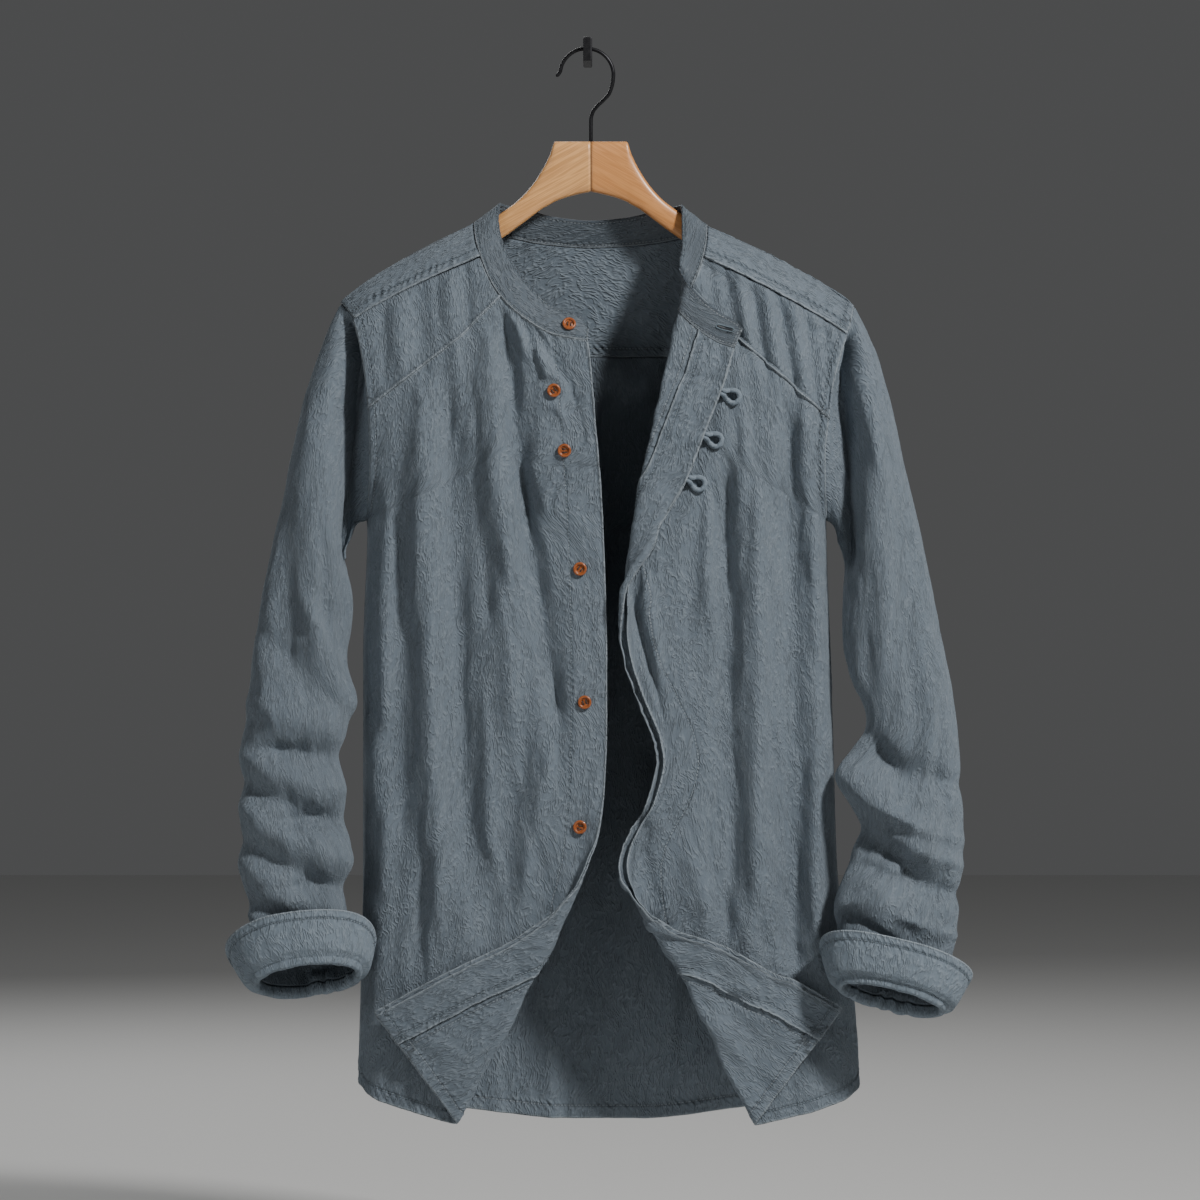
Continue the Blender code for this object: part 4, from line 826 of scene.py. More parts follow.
def crinkle(tree: Tree, place: bpy.types.NodeSocket) -> tuple[Signal, Signal]:
    """The cloth's crinkle and weave.

    Args:
        tree: where the nodes are added.
        place: the cloth's UV in metres.

    Returns:
        The fine crests alone, and the height: those crests, wider folds and the weave. The
        crests are noise folded at its middle, broken up and bent sideways by slower noises.
        The weave is sin(across) * sin(down), a full turn to each thread.
    """
    sway = tree.noise(place, (24, 26, 1), 1.0, 0.0, 3.1)
    aside = tree.add("CombineXYZ", {0: (sway - 0.5) * SWAY}).outputs[0]
    spun = tree.add("VectorMath", {0: place, 1: aside}, operation="ADD").outputs[0]
    patches = tree.noise(spun, (200, 130, 1), 1.0, 0.4, 4.7)
    broken = tree.add("MapRange", {0: patches, 1: 0.3, 2: 0.6}, interpolation_type="SMOOTHSTEP")
    crest = tree.ridged(tree.noise(spun, (520, 150, 1), 0.0, 0.3), 5.0)
    fine = crest * broken.outputs[0]
    wide = tree.ridged(tree.noise(spun, (150, 36, 1), 2.0, 0.4, 7.7), 2.6)
    across, down, _ = tree.split(place)
    turn = 2 * math.pi / THREAD
    weave = tree.calc("SINE", across * turn) * tree.calc("SINE", down * turn)
    return fine, fine * 0.62 + wide * 0.05 + weave * 0.05


def crinkled_cotton() -> bpy.types.NodeTree:
    """The shirt cloth's crinkle, weave, uneven dye, stitches and seam lines.

    Returns:
        A group that turns Place (the cloth's UV in metres), Shade and the sewing map's two
        vectors into Colour and Height. Round a row of stitches the cloth is drawn into waves,
        sin(run / spacing), under exp(-(distance / width) ** 2), and sinks in a groove. Sewn
        edges sink the same way, and the fold of a free edge is raised. The colour varies as
        uneven dye with slub and cloud noise, and is paler on the crinkle's crests as a painted
        highlight. Stitch grooves and sewn edges are darkened with painted shade, stitch dashes
        are paler, and the folds of free edges are paler with a painted highlight.
    """
    group, tree, enter, leave = effect(
        "crinkled_cotton", {"Place": "Vector", "Shade": "Color", "Sewn": "Vector",
                            "Edges": "Vector"}, {"Colour": "Color", "Height": "Float"})
    place, shade = enter.outputs["Place"], enter.outputs["Shade"]
    fine, height = crinkle(tree, place)
    past, run, pull = tree.split(enter.outputs["Sewn"])
    sewn, free, cut = tree.split(enter.outputs["Edges"])
    uneven = tree.noise(place, (28, 28, 1), 1.0, 0.0, 2.6) * 11.0
    wave = tree.calc("SINE", (run + past * 0.7) * (2 * math.pi / WAVE_SPACING) + uneven)
    strong = tree.noise(place, (75, 75, 1), 1.0, 0.0, 8.4) * 3.2 - 1.1
    wave = wave * tree.calc("MAXIMUM", strong, 0.05) * (tree.bell(past, 4.0) * pull)
    on_row = tree.calc("LESS_THAN", tree.calc("ABSOLUTE", past), STITCH_HALF)
    dash = tree.calc("GREATER_THAN", tree.calc("SINE", run * STITCH_TURN), -0.5)
    thread = on_row * dash * tree.calc("GREATER_THAN", pull, 0.01)
    groove = tree.bell(past, 1.25) * tree.calc("MINIMUM", pull, 1.0)
    joint = tree.bell(sewn, 0.95) * cut
    rim = tree.bell(free - 0.5, 0.9) * cut
    for part, share in ((wave, 0.30), (groove, -0.34), (thread, 0.35), (joint, -0.5), (rim, 0.4)):
        height = part * share + height
    tree.feed(leave.inputs["Height"], height)
    slub = tree.noise(place, (900, 60, 1), 2.0, 0.3, 1.3)
    cloud = tree.noise(place, (14, 9, 1), 3.0, 0.2, 5.9)
    # Uneven dye from the slub and cloud noise, and a paler colour on the crinkle's crests that is a
    # painted highlight.
    tone = (fine * 0.13 + slub * 0.2 + cloud * 0.12 - 0.02) * 1.8
    dark = tree.blend(1.0, shade, (0.62, 0.66, 0.7, 1), "MULTIPLY")
    colour = tree.blend(tone, dark, tree.blend(0.16, shade, PALE_COTTON_AND_HIGHLIGHT))
    # Painted shade: the colour is darkened in the stitch grooves and along sewn edges.
    deep = groove * 0.55 + joint * 0.75
    colour = tree.blend(deep, colour, tree.blend(1.0, colour, (0.3, 0.32, 0.35, 1), "MULTIPLY"))
    # Paler on the stitch dashes, and a painted highlight on the raised folds of free edges.
    bright = thread * 0.5 + rim * 0.45
    tree.feed(leave.inputs["Colour"],
              tree.blend(bright, colour, tree.blend(0.32, shade, PALE_COTTON_AND_HIGHLIGHT)))
    return group


@dataclass(frozen=True)
class Finish:
    """Base of every finish: a name and how it begins its material."""

    name: str

    def start(self, values: dict[str, object]) -> tuple[bpy.types.Material, Tree, bpy.types.Node]:
        """Begin a node material.

        Args:
            values: plain values of its Principled node, by socket name.

        Returns:
            The material, its Tree and its Principled node.
        """
        made = bpy.data.materials.new(self.name)
        made.use_nodes = True
        shader = made.node_tree.nodes["Principled BSDF"]
        for label, value in values.items():
            shader.inputs[label].default_value = value
        return made, Tree(made.node_tree), shader


@dataclass(frozen=True)
class ClothFinish(Finish):
    """Crinkled cotton in one shade of colour. The collar's deeper copy is painted shade, and the
    paler copies for the cuffs and the loop cord are painted light.
    """

    shade: tuple[float, float, float] = (0.156, 0.190, 0.223)
    relief: float = 1.0
    sheen: float = 0.18
    depth: float = 0.0016

    def material(self, effects: dict[str, bpy.types.NodeTree]) -> bpy.types.Material:
        """Build the material from the shared crinkle, found by name among the effects.

        Args:
            effects: the shared node groups by name.

        Returns:
            The material.
        """
        made, tree, shader = self.start(
            {"Roughness": 0.82, "Specular IOR Level": 0.25, "Sheen Weight": self.sheen,
             "Sheen Roughness": 0.45, "Sheen Tint": (0.7, 0.8, 0.9, 1)})
        sewing = {socket: tree.add("Attribute", attribute_name=label).outputs["Vector"]
                  for label, socket in (("sewn", "Sewn"), ("edges", "Edges"))}
        place = tree.add("UVMap", uv_map="cloth").outputs[0]
        cloth = tree.add("Group", node_tree=effects["crinkled_cotton"])
        for label, value in {"Place": place, "Shade": opaque(self.shade), **sewing}.items():
            tree.feed(cloth.inputs[label], value)
        tree.dress(shader, cloth.outputs["Colour"], cloth.outputs["Height"], self.relief,
                   self.depth)
        return made


@dataclass(frozen=True)
class ThreadFinish(Finish):
    """Sewing thread with a slight shine and a spun look."""

    shade: tuple[float, float, float] = (0.12, 0.165, 0.20)

    def material(self, effects: dict[str, bpy.types.NodeTree]) -> bpy.types.Material:
        """Build the material: two tones mixed by fine noise.

        Args:
            effects: the shared node groups by name; not used.

        Returns:
            The material.
        """
        made, tree, shader = self.start({"Roughness": 0.55, "Sheen Weight": 0.2})
        place = tree.add("TexCoord").outputs["Object"]
        ply = tree.noise(place, (1400, 1400, 900), 2.0)
        tree.dress(shader, tree.blend(ply, opaque(self.shade, 0.7), opaque(self.shade, 1.25)))
        return made


@dataclass(frozen=True)
class WoodFinish(Finish):
    """Varnished pale hardwood with long fine grain down each arm's UV."""

    pale: tuple[float, float, float] = (0.90, 0.49, 0.19)
    deep: tuple[float, float, float] = (0.40, 0.175, 0.055)

    def material(self, effects: dict[str, bpy.types.NodeTree]) -> bpy.types.Material:
        """Build the material: bent growth rings, fine pores and a clear coat.

        Args:
            effects: the shared node groups by name; not used.

        Returns:
            The material.
        """
        made, tree, shader = self.start(
            {"Roughness": 0.42, "Coat Weight": 0.35, "Coat Roughness": 0.22})
        place = tree.add("UVMap", uv_map="cloth").outputs[0]
        rings = tree.noise(place, (7, 160, 1), 3.0, 1.4)
        bands = tree.calc("SINE", rings * 34.0) * 0.5 + 0.5
        pores = tree.noise(place, (40, 1500, 1), 2.0, 0.2, 2.2)
        cloud = tree.noise(place, (12, 30, 1), 2.0, 0.5, 9.1)
        tone = bands * 0.38 + pores * 0.35 + cloud * 0.25
        colour = tree.blend(tone, opaque(self.pale), opaque(self.deep))
        tree.dress(shader, colour, pores, 0.12, 0.0004)
        return made


@dataclass(frozen=True)
class ButtonFinish(Finish):
    """Warm brown turned button, streaked and flecked."""

    middle: tuple[float, float, float] = (0.50, 0.145, 0.032)
    shadow: tuple[float, float, float] = (0.16, 0.038, 0.009)

    def material(self, effects: dict[str, bpy.types.NodeTree]) -> bpy.types.Material:
        """Build the material: streaks in Object coordinates and a little bump.

        Args:
            effects: the shared node groups by name; not used.

        Returns:
            The material.
        """
        made, tree, shader = self.start({"Roughness": 0.32, "Coat Weight": 0.3})
        place = tree.add("TexCoord").outputs["Object"]
        streak = tree.noise(place, (160, 160, 520), 3.0, 1.6)
        fleck = tree.noise(place, (900, 900, 900), 2.0, 0.0, 4.4)
        tone = streak * 0.8 + fleck * 0.25 - 0.12
        colour = tree.blend(tone, opaque(self.shadow), opaque(self.middle))
        tree.dress(shader, colour, fleck, 0.1, 0.0002)
        return made


@dataclass(frozen=True)
class MetalFinish(Finish):
    """Dark coated metal with slight wear."""

    shade: tuple[float, float, float] = (0.018, 0.018, 0.02)
    rough: float = 0.38

    def material(self, effects: dict[str, bpy.types.NodeTree]) -> bpy.types.Material:
        """Build the material: uneven gloss and a few paler scuffs.

        Args:
            effects: the shared node groups by name; not used.

        Returns:
            The material.
        """
        made, tree, shader = self.start({"Metallic": 0.85})
        place = tree.add("TexCoord").outputs["Object"]
        scuff = tree.noise(place, (260, 260, 260), 4.0, 0.4)
        tree.dress(shader, tree.blend(scuff * 0.4, opaque(self.shade), opaque(self.shade, 2.6)))
        tree.feed(shader.inputs["Roughness"], scuff * 0.3 + (self.rough - 0.12))
        return made


@dataclass(frozen=True)
class StageFinish(Finish):
    """Plain pale floor."""

    shade: tuple[float, float, float] = (0.62, 0.62, 0.61)

    def material(self, effects: dict[str, bpy.types.NodeTree]) -> bpy.types.Material:
        """Build the plain material."""
        return self.start({"Base Color": opaque(self.shade), "Roughness": 0.9})[0]


class Kind(Enum):
    """The finishes that pieces choose from."""

    CLOTH = ClothFinish("crinkled_cotton_cloth")
    # A deeper copy of the shirt's dye: painted shade on the collar band.
    COLLAR_CLOTH = ClothFinish("collar_cloth", shade=(0.110, 0.134, 0.158))
    # A paler copy of the shirt's dye: painted light on the cuffs.
    CUFF_CLOTH = ClothFinish("cuff_cloth", shade=(0.196, 0.239, 0.279))
    # A paler copy of the shirt's dye: painted light on the loop cord.
    LIT_CORD = ClothFinish("loop_cord_cloth", shade=(0.190, 0.232, 0.272), relief=0.4)
    THREAD = ThreadFinish("sewing_thread")
    DARK_THREAD = ThreadFinish("button_thread", shade=(0.035, 0.018, 0.01))
    # A near-black sheet for the buttonhole's slit: painted shadow.
    SLIT_SHADOW = ThreadFinish("buttonhole_shadow", shade=(0.014, 0.018, 0.023))
    WOOD = WoodFinish("varnished_hanger_wood")
    DEEP_WOOD = WoodFinish("deeper_hanger_wood", pale=(0.72, 0.335, 0.115),
                           deep=(0.42, 0.16, 0.042))
    BUTTON = ButtonFinish("brown_button")
    WIRE = MetalFinish("black_hanger_wire")
    HOOK = MetalFinish("dark_wall_hook", shade=(0.02, 0.02, 0.022), rough=0.45)
    STAGE = StageFinish("pale_floor")


class Workshop:
    """Makes shared node groups and materials once, and puts finished meshes in the scene."""

    def __init__(self) -> None:
        """Build the shared effects."""
        self.effects = {"crinkled_cotton": crinkled_cotton()}
        self.materials: dict[Kind, bpy.types.Material] = {}

    def material(self, kind: Kind) -> bpy.types.Material:
        """The material of a finish, made on first use.

        Args:
            kind: the finish.

        Returns:
            Its material.
        """
        if kind not in self.materials:
            self.materials[kind] = kind.value.material(self.effects)
        return self.materials[kind]

    def place(self, name: str, mesh: bpy.types.Mesh, kind: Kind, nodes: tuple[str, ...],
              slot: str) -> bpy.types.Object:
        """Put a finished mesh in the scene as a piece.

        Args:
            name: the piece's name.
            mesh: its mesh, in metres in the row frame.
            kind: its finish.
            nodes: the CAD nodes that it stands for.
            slot: the record's material slot.

        Returns:
            The object.
        """
        made = bpy.data.objects.new(name, mesh)
        bpy.context.scene.collection.objects.link(made)
        mesh.materials.clear()
        mesh.materials.append(self.material(kind))
        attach(made, "root")
        if nodes:
            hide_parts(*nodes)
        LOG.info("%s in slot %s, for %s", name, slot, ", ".join(nodes) or "no node")
        return made


def give_wall(made: bpy.types.Object, thickness: float, group: str = "") -> None:
    """Thicken a surface to both sides, by the weights of a vertex group where one is named.

    Args:
        made: the piece.
        thickness: the whole wall in millimetres.
        group: the vertex group's name.
    """
    solid = made.modifiers.new("wall", "SOLIDIFY")
    solid.thickness = thickness * MM
    solid.offset = 0
    solid.vertex_group = group


def grid_mesh(name: str, points: Array, uv: Array, closed: bool = False,
              caps: bool = False) -> bpy.types.Mesh:
    """Make a mesh of quads over a grid of points.

    Args:
        name: the mesh's name.
        points: rows by columns by 3, in millimetres.
        uv: rows by columns (and one more column when closed) by 2, in millimetres.
        closed: whether the last column joins the first.
        caps: whether the first and last row are closed by a fan to their middle.

    Returns:
        The mesh in metres, with a UV map named cloth in metres.
    """
    down, across = points.shape[:2]
    index = np.arange(down * across).reshape(down, across)
    if closed:
        index = wrap(index)
    quads = np.stack([index[:-1, :-1], index[1:, :-1], index[1:, 1:], index[:-1, 1:]],
                     axis=-1).reshape(-1, 4)
    places = np.stack([uv[:-1, :-1], uv[1:, :-1], uv[1:, 1:], uv[:-1, 1:]],
                      axis=-2).reshape(-1, 2)
    corners = points.reshape(-1, 3)
    faces: list[list[int]] = quads.tolist()
    if caps:
        middle = len(corners)
        corners = np.vstack([corners, points[0].mean(axis=0), points[-1].mean(axis=0)])
        ring = np.append(np.arange(across), 0)
        start, end = ring, ring + (down - 1) * across
        fan_a = np.stack([np.full(across, middle), start[:-1], start[1:]], axis=1)
        fan_b = np.stack([np.full(across, middle + 1), end[1:], end[:-1]], axis=1)
        faces += fan_a.tolist() + fan_b.tolist()
        places = np.vstack([places, np.repeat(uv[0, :1], 3 * across, axis=0),
                            np.repeat(uv[-1, :1], 3 * across, axis=0)])
    mesh = bpy.data.meshes.new(name)
    mesh.from_pydata((corners * MM).tolist(), [], faces)
    layer = mesh.uv_layers.new(name="cloth")
    layer.data.foreach_set("uv", (places * MM).astype(np.float32).ravel())
    mesh.shade_smooth()
    return mesh


def cloth_uv(points: Array, closed: bool = False) -> Array:
    """Places on the cloth in millimetres, by the lengths along a grid's rows and columns.

    Args:
        points: the grid.
        closed: whether the last column joins the first.

    Returns:
        Places across and down. A closed grid's have one more column, and its rows all take
        their mean lengths across.
    """
    if closed:
        points = wrap(points)
    across, down = gaps(points, 1), gaps(points)
    u = np.concatenate([across[:, :1] * 0, np.cumsum(across, axis=1)], axis=1)
    if closed:
        u = np.repeat(u.mean(axis=0, keepdims=True), len(points), axis=0)
    v = np.concatenate([down[:1] * 0, np.cumsum(down, axis=0)], axis=0)
    return np.stack([u, v], axis=-1)


class Edge(Enum):
    """The four edges of a grid."""

    TOP = "top"
    LOW = "low"
    START = "start"
    END = "end"


@dataclass(frozen=True)
class Seam:
    """How cloth looks beside one edge of its piece.

    drop is how far the cloth turns in at the edge, band the width of doubled cloth, raised its
    extra height, pucker the height of the puckers and spacing their distance, slant how far
    they lean, stitches the distances of the stitch rows, and span the shares of the edge
    between which all this is so. The crumple fades out at a sewn edge. pull is how strongly
    the stitches draw the cloth in. A sewn edge is darkened by the material with painted
    shade; rim instead gives it the raised fold of a free edge, which is made paler with a
    painted highlight.
    """

    edge: Edge
    drop: float = 0.0
    band: float = 0.0
    raised: float = 0.0
    pucker: float = 0.0
    spacing: float = 7.0
    slant: float = 0.0
    stitches: tuple[float, ...] = ()
    span: tuple[float, float] = (0.0, 1.0)
    sewn: bool = True
    pull: float = 1.0
    rim: bool = False

    @property
    def doubled(self) -> float:
        """How much thicker its doubled cloth is, as a share of the wall."""
        return min(abs(self.raised) * 1.6, 0.9)

    def in_band(self, away: Array) -> Array:
        """1 on its doubled cloth and 0 past it, at distances from the edge."""
        return 1 - step_between(self.band - BAND_SOFTNESS, self.band + BAND_SOFTNESS, away)


def from_edge(points: Array, edge: Edge) -> tuple[Array, Array]:
    """Distances from an edge, and distances along it.

    Args:
        points: the grid.
        edge: which edge.

    Returns:
        For each point its distance from the edge along its row or column, and how far along
        the edge that row or column starts, both in millimetres.
    """
    axis = 1 if edge in (Edge.START, Edge.END) else 0
    steps = gaps(points, axis)
    zero = np.zeros_like(np.take(steps, [0], axis=axis))
    away = np.concatenate([zero, np.cumsum(steps, axis=axis)], axis=axis)
    if edge in (Edge.END, Edge.LOW):
        away = np.take(away, [-1], axis=axis) - away
    line = np.take(points, 0 if edge in (Edge.START, Edge.TOP) else -1, axis=axis)
    length = run_along(line)
    return away, length[:, None] if axis == 1 else length[None, :]


def seam_relief(points: Array, seams: tuple[Seam, ...], seed: int) -> tuple[Array, Array]:
    """Height of the seams and hems of a grid, and where its crumple fades out.

    Args:
        points: the grid.
        seams: its seams.
        seed: which puckers.

    Returns:
        Heights in millimetres, and a share from 0 at sewn edges to 1 inside. The edge drops
        by a narrow bell, doubled cloth is raised up to its band, a stitch row sinks in a
        narrow groove, and puckers are a sine along the edge with uneven height that is full
        in the band and dies out within 7 mm of it.
    """
    height = np.zeros(points.shape[:2])
    inside = np.ones(points.shape[:2])
    for number, seam in enumerate(seams):
        away, length = from_edge(points, seam.edge)
        share = length / length.max()
        low, high = seam.span
        here = step_between(low - 0.02, low + 0.02, share) if low > 0 else 1.0
        here = here * (1 - step_between(high - 0.02, high + 0.02, share)) if high < 1 else here
        part = seam.raised * seam.in_band(away) - seam.drop * bell(away, EDGE_DROP_WIDTH)
        for at in seam.stitches:
            part = part - GROOVE_DEPTH * bell(away - at, GROOVE_WIDTH)
        wave = np.sin(2 * math.pi * (length + seam.slant * away) / seam.spacing
                      + 2.4 * soft_noise(length / 31, away / 40, seed + 40 + number))
        uneven = 0.65 + 0.6 * soft_noise(length / 13, away / 30, seed + 60 + number)
        fade = np.exp(-(np.maximum(away - seam.band, 0) / PUCKER_FADE) ** 1.5)
        part = part + seam.pucker * wave * uneven * fade * step_between(-1, 1.2, away)
        height = height + part * here
        if seam.sewn:
            inside = inside * mix(1.0, step_between(0, 5, away), here)
    return height, inside


def sewing_map(points: Array, seams: tuple[Seam, ...]) -> tuple[Array, Array]:
    """What the cloth's material needs to draw stitches, seam lines and edges.

    Args:
        points: the grid.
        seams: its seams.

    Returns:
        For each point, first how far it is past the nearest row of stitches, how far along
        that row and how strongly it draws the cloth in; then the distance from the nearest
        sewn edge and from the nearest free edge, and 1. All distances are in millimetres.
    """
    size = points.shape[:2]
    row = np.zeros((*size, 3))
    row[..., 0] = FAR_AWAY
    edges = np.full((*size, 3), FAR_AWAY)
    edges[..., 2] = 1.0
    for seam in seams:
        away, length = from_edge(points, seam.edge)
        length = np.broadcast_to(length, size)
        share = length / length.max()
        here = (share >= seam.span[0] - 1e-6) & (share <= seam.span[1] + 1e-6)
        for at in seam.stitches:
            off = np.where(here, away - at, FAR_AWAY)
            closer = np.abs(off) < np.abs(row[..., 0])
            pull = np.full(size, seam.pull)
            row[closer] = np.stack([off, length, pull], axis=-1)[closer]
        kind = 0 if seam.sewn and not seam.rim else 1
        edges[..., kind] = np.minimum(edges[..., kind], np.where(here, away, FAR_AWAY))
    return row, edges


def line_inside(points: Array, normals: Array, edge: Edge, distance: float) -> tuple[Array, Array]:
    """The line of a grid at a distance from an edge, with its normals.

    Args:
        points: the grid.
        normals: its normals.
        edge: which edge.
        distance: how far inside it, in millimetres.

    Returns:
        Points and normals, read between the two points of each row or column on either side
        of the distance.
    """
    away, _ = from_edge(points, edge)
    if edge in (Edge.START, Edge.END):
        away, points, normals = away.T, points.swapaxes(0, 1), normals.swapaxes(0, 1)
    if edge in (Edge.END, Edge.LOW):
        away, points, normals = away[::-1], points[::-1], normals[::-1]
    upper = np.clip((away < distance).sum(axis=0), 1, len(away) - 1)
    column = np.arange(away.shape[1])
    a, b = away[upper - 1, column], away[upper, column]
    share = np.clip((distance - a) / np.maximum(b - a, 1e-6), 0, 1)[:, None]
    line = mix(points[upper - 1, column], points[upper, column], share)
    facing = mix(normals[upper - 1, column], normals[upper, column], share)
    return line, unit(facing)


@dataclass(frozen=True)
class StitchRun:
    """A row of stitches: how far apart, how long and how thick they are."""

    pitch: float = 2.9
    length: float = 2.0
    radius: float = 0.3

    def mesh_parts(self, line: Array, normals: Array) -> tuple[Array, Array, Array]:
        """Corners, quads and triangles of the stitches along a line.

        Args:
            line: points of the line on the cloth.
            normals: the cloth's outward normals there.

        Returns:
            Corners and two face tables. Each stitch is a short thread of four sides with
            both tips pulled into the cloth.
        """
        knots = run_along(line)
        count = max(int(knots[-1] / self.pitch), 1)
        at = (np.arange(count) + 0.5) * knots[-1] / count
        middle, up = read_line(line, knots, at), unit(read_line(normals, knots, at))
        way = unit(read_line(line, knots, at + 0.4) - read_line(line, knots, at - 0.4))
        side = unit(np.cross(way, up))
        half = self.length / 2
        spots = [middle + way * (run * half) + up * (self.radius * (0.5 + rise))
                 + side * (self.radius * sideways)
                 for run in (-0.62, 0.62)
                 for rise, sideways in ((1, 0), (0, 1), (-1, 0), (0, -1))]
        tips = [middle + way * (run * half) - up * self.radius for run in (-1, 1)]
        corners = np.stack(spots + tips, axis=1).reshape(-1, 3)
        base = (np.arange(count) * 10)[:, None, None]
        quads = np.array([[k, (k + 1) % 4, (k + 1) % 4 + 4, k + 4] for k in range(4)])
        ends = np.array([[8, (k + 1) % 4, k] for k in range(4)]
                        + [[9, k + 4, (k + 1) % 4 + 4] for k in range(4)])
        return corners, (base + quads).reshape(-1, 4), (base + ends).reshape(-1, 3)


def thread_mesh(name: str, rows: list[tuple[Array, Array, Array]]) -> bpy.types.Mesh:
    """One mesh of the stitches of several rows, each row as mesh_parts gives it.

    Args:
        name: the mesh's name.
        rows: corners, quads and triangles.

    Returns:
        The mesh in metres.
    """
    corners, quads, ends = zip(*rows)
    first = np.cumsum([0] + [len(part) for part in corners])
    faces = [part + start for parts in (quads, ends) for part, start in zip(parts, first)]
    mesh = bpy.data.meshes.new(name)
    mesh.from_pydata((np.vstack(corners) * MM).tolist(), [],
                     [face for part in faces for face in part.tolist()])
    mesh.shade_smooth()
    return mesh


@dataclass
class ClothPiece:
    """One cut piece of cloth: its grid, its wall and what is sewn along its edges.

    crumple is the height of its small creases, and calm a share of it for each point. grain
    gives places on the cloth where the threads don't follow the grid.
    """

    name: str
    nodes: tuple[str, ...]
    points: Array
    outward: int
    seed: int
    wall: float = 0.9
    closed: bool = False
    seams: tuple[Seam, ...] = ()
    crumple: float = 1.7
    rests_on: tuple[str, ...] = ()
    kind: Kind = Kind.CLOTH
    grain: Array | None = None
    calm: Array | float = 1.0
    finished: Array = field(init=False)
    facing: Array = field(init=False)

    def shape(self) -> None:
        """Add seams, puckers and crumple to the form, along its outward normals."""
        self.facing = grid_normals(self.points, self.closed) * self.outward
        uv = cloth_uv(self.points)
        height, inside = seam_relief(self.points, self.seams, self.seed)
        u, v = uv[..., 0] + 300, uv[..., 1] + 300
        if self.closed:
            turn = np.arange(u.shape[1]) / u.shape[1]
            u = 300 + 45 * np.cos(2 * math.pi * turn)[None, :] + 0 * u
            v = v + 45 * np.sin(2 * math.pi * turn)[None, :]
        height = height + self.crumple * crumple(u, v, self.seed) * inside * self.calm
        self.finished = self.points + self.facing * height[..., None]
        self.facing = grid_normals(self.finished, self.closed) * self.outward

    def cut_size(self) -> tuple[float, float, float]:
        """Width, length and area of the flat cut, in metres and square metres.

        Returns:
            The longest row, the longest column and the surface's area.
        """
        wide = wrap(self.points) if self.closed else self.points
        across = gaps(wide, 1).sum(axis=1).max() * MM
        down = gaps(wide).sum(axis=0).max() * MM
        a, b = wide[1:, 1:] - wide[:-1, :-1], wide[1:, :-1] - wide[:-1, 1:]
        area = 0.5 * np.linalg.norm(np.cross(a, b), axis=-1).sum() * MM * MM
        return across, down, area

    def make(self, shop: Workshop) -> bpy.types.Object:
        """Args:
            shop: gives materials and places pieces.

        Returns:
            The cloth object.
        """
        self.shape()
        uv = cloth_uv(self.points, self.closed) if self.grain is None else self.grain
        mesh = grid_mesh(self.name, self.finished, uv, self.closed)
        for label, values in zip(("sewn", "edges"), sewing_map(self.points, self.seams)):
            layer = mesh.attributes.new(label, "FLOAT_VECTOR", "POINT")
            layer.data.foreach_set("vector", values.astype(np.float32).ravel())
        made = shop.place(self.name, mesh, self.kind, self.nodes, self.nodes[0])
        self.add_wall(made)
        width, length, area = self.cut_size()
        LOG.info("%s: cut %.0f x %.0f mm, %.4f m2", self.name, width * 1000, length * 1000, area)
        self.sew(shop)
        return made

    def add_wall(self, made: bpy.types.Object) -> None:
        """Give the cloth its wall, thicker where it is doubled by a hem or seam.

        Args:
            made: the cloth object.
        """
        ply = np.full(self.points.shape[:2], 1.0)
        for seam in self.seams:
            if seam.raised:
                away, _ = from_edge(self.points, seam.edge)
                ply = np.maximum(ply, 1 + seam.in_band(away) * seam.doubled)
        most = float(ply.max())
        group = made.vertex_groups.new(name="ply")
        levels = np.round(ply.ravel() / most, 2)
        for level in np.unique(levels):
            group.add(np.nonzero(levels == level)[0].tolist(), float(level), "REPLACE")
        give_wall(made, self.wall * most, "ply")

    def sew(self, shop: Workshop) -> None:
        """Sew the rows of stitches on the outer face.

        Args:
            shop: gives materials and places pieces.
        """
        rows = []
        for seam in self.seams:
            for distance in seam.stitches:
                line, normals = line_inside(self.finished, self.facing, seam.edge, distance)
                if self.closed and seam.edge in (Edge.TOP, Edge.LOW):
                    line, normals = np.vstack([line, line[:1]]), np.vstack([normals, normals[:1]])
                first, last = (int(round(share * (len(line) - 1))) for share in seam.span)
                line, normals = line[first:last + 1], normals[first:last + 1]
                doubled = 1 + (seam.doubled if distance <= seam.band else 0)
                lift = normals * (self.wall * doubled / 2 + 0.02)
                rows.append(StitchRun().mesh_parts(line + lift, normals))
        if rows:
            name = self.name + "_stitches"
            shop.place(name, thread_mesh(name, rows), Kind.THREAD, (), self.nodes[0])


@dataclass
class Assembly:
    """Base of every sub-assembly: the workshop that makes its materials and places it."""

    shop: Workshop


ARMHOLE_SEAM = Seam(Edge.START, 0.5, 7, 0.45, 0.3, 6, 0, (7.0,), pull=1.9, rim=True)


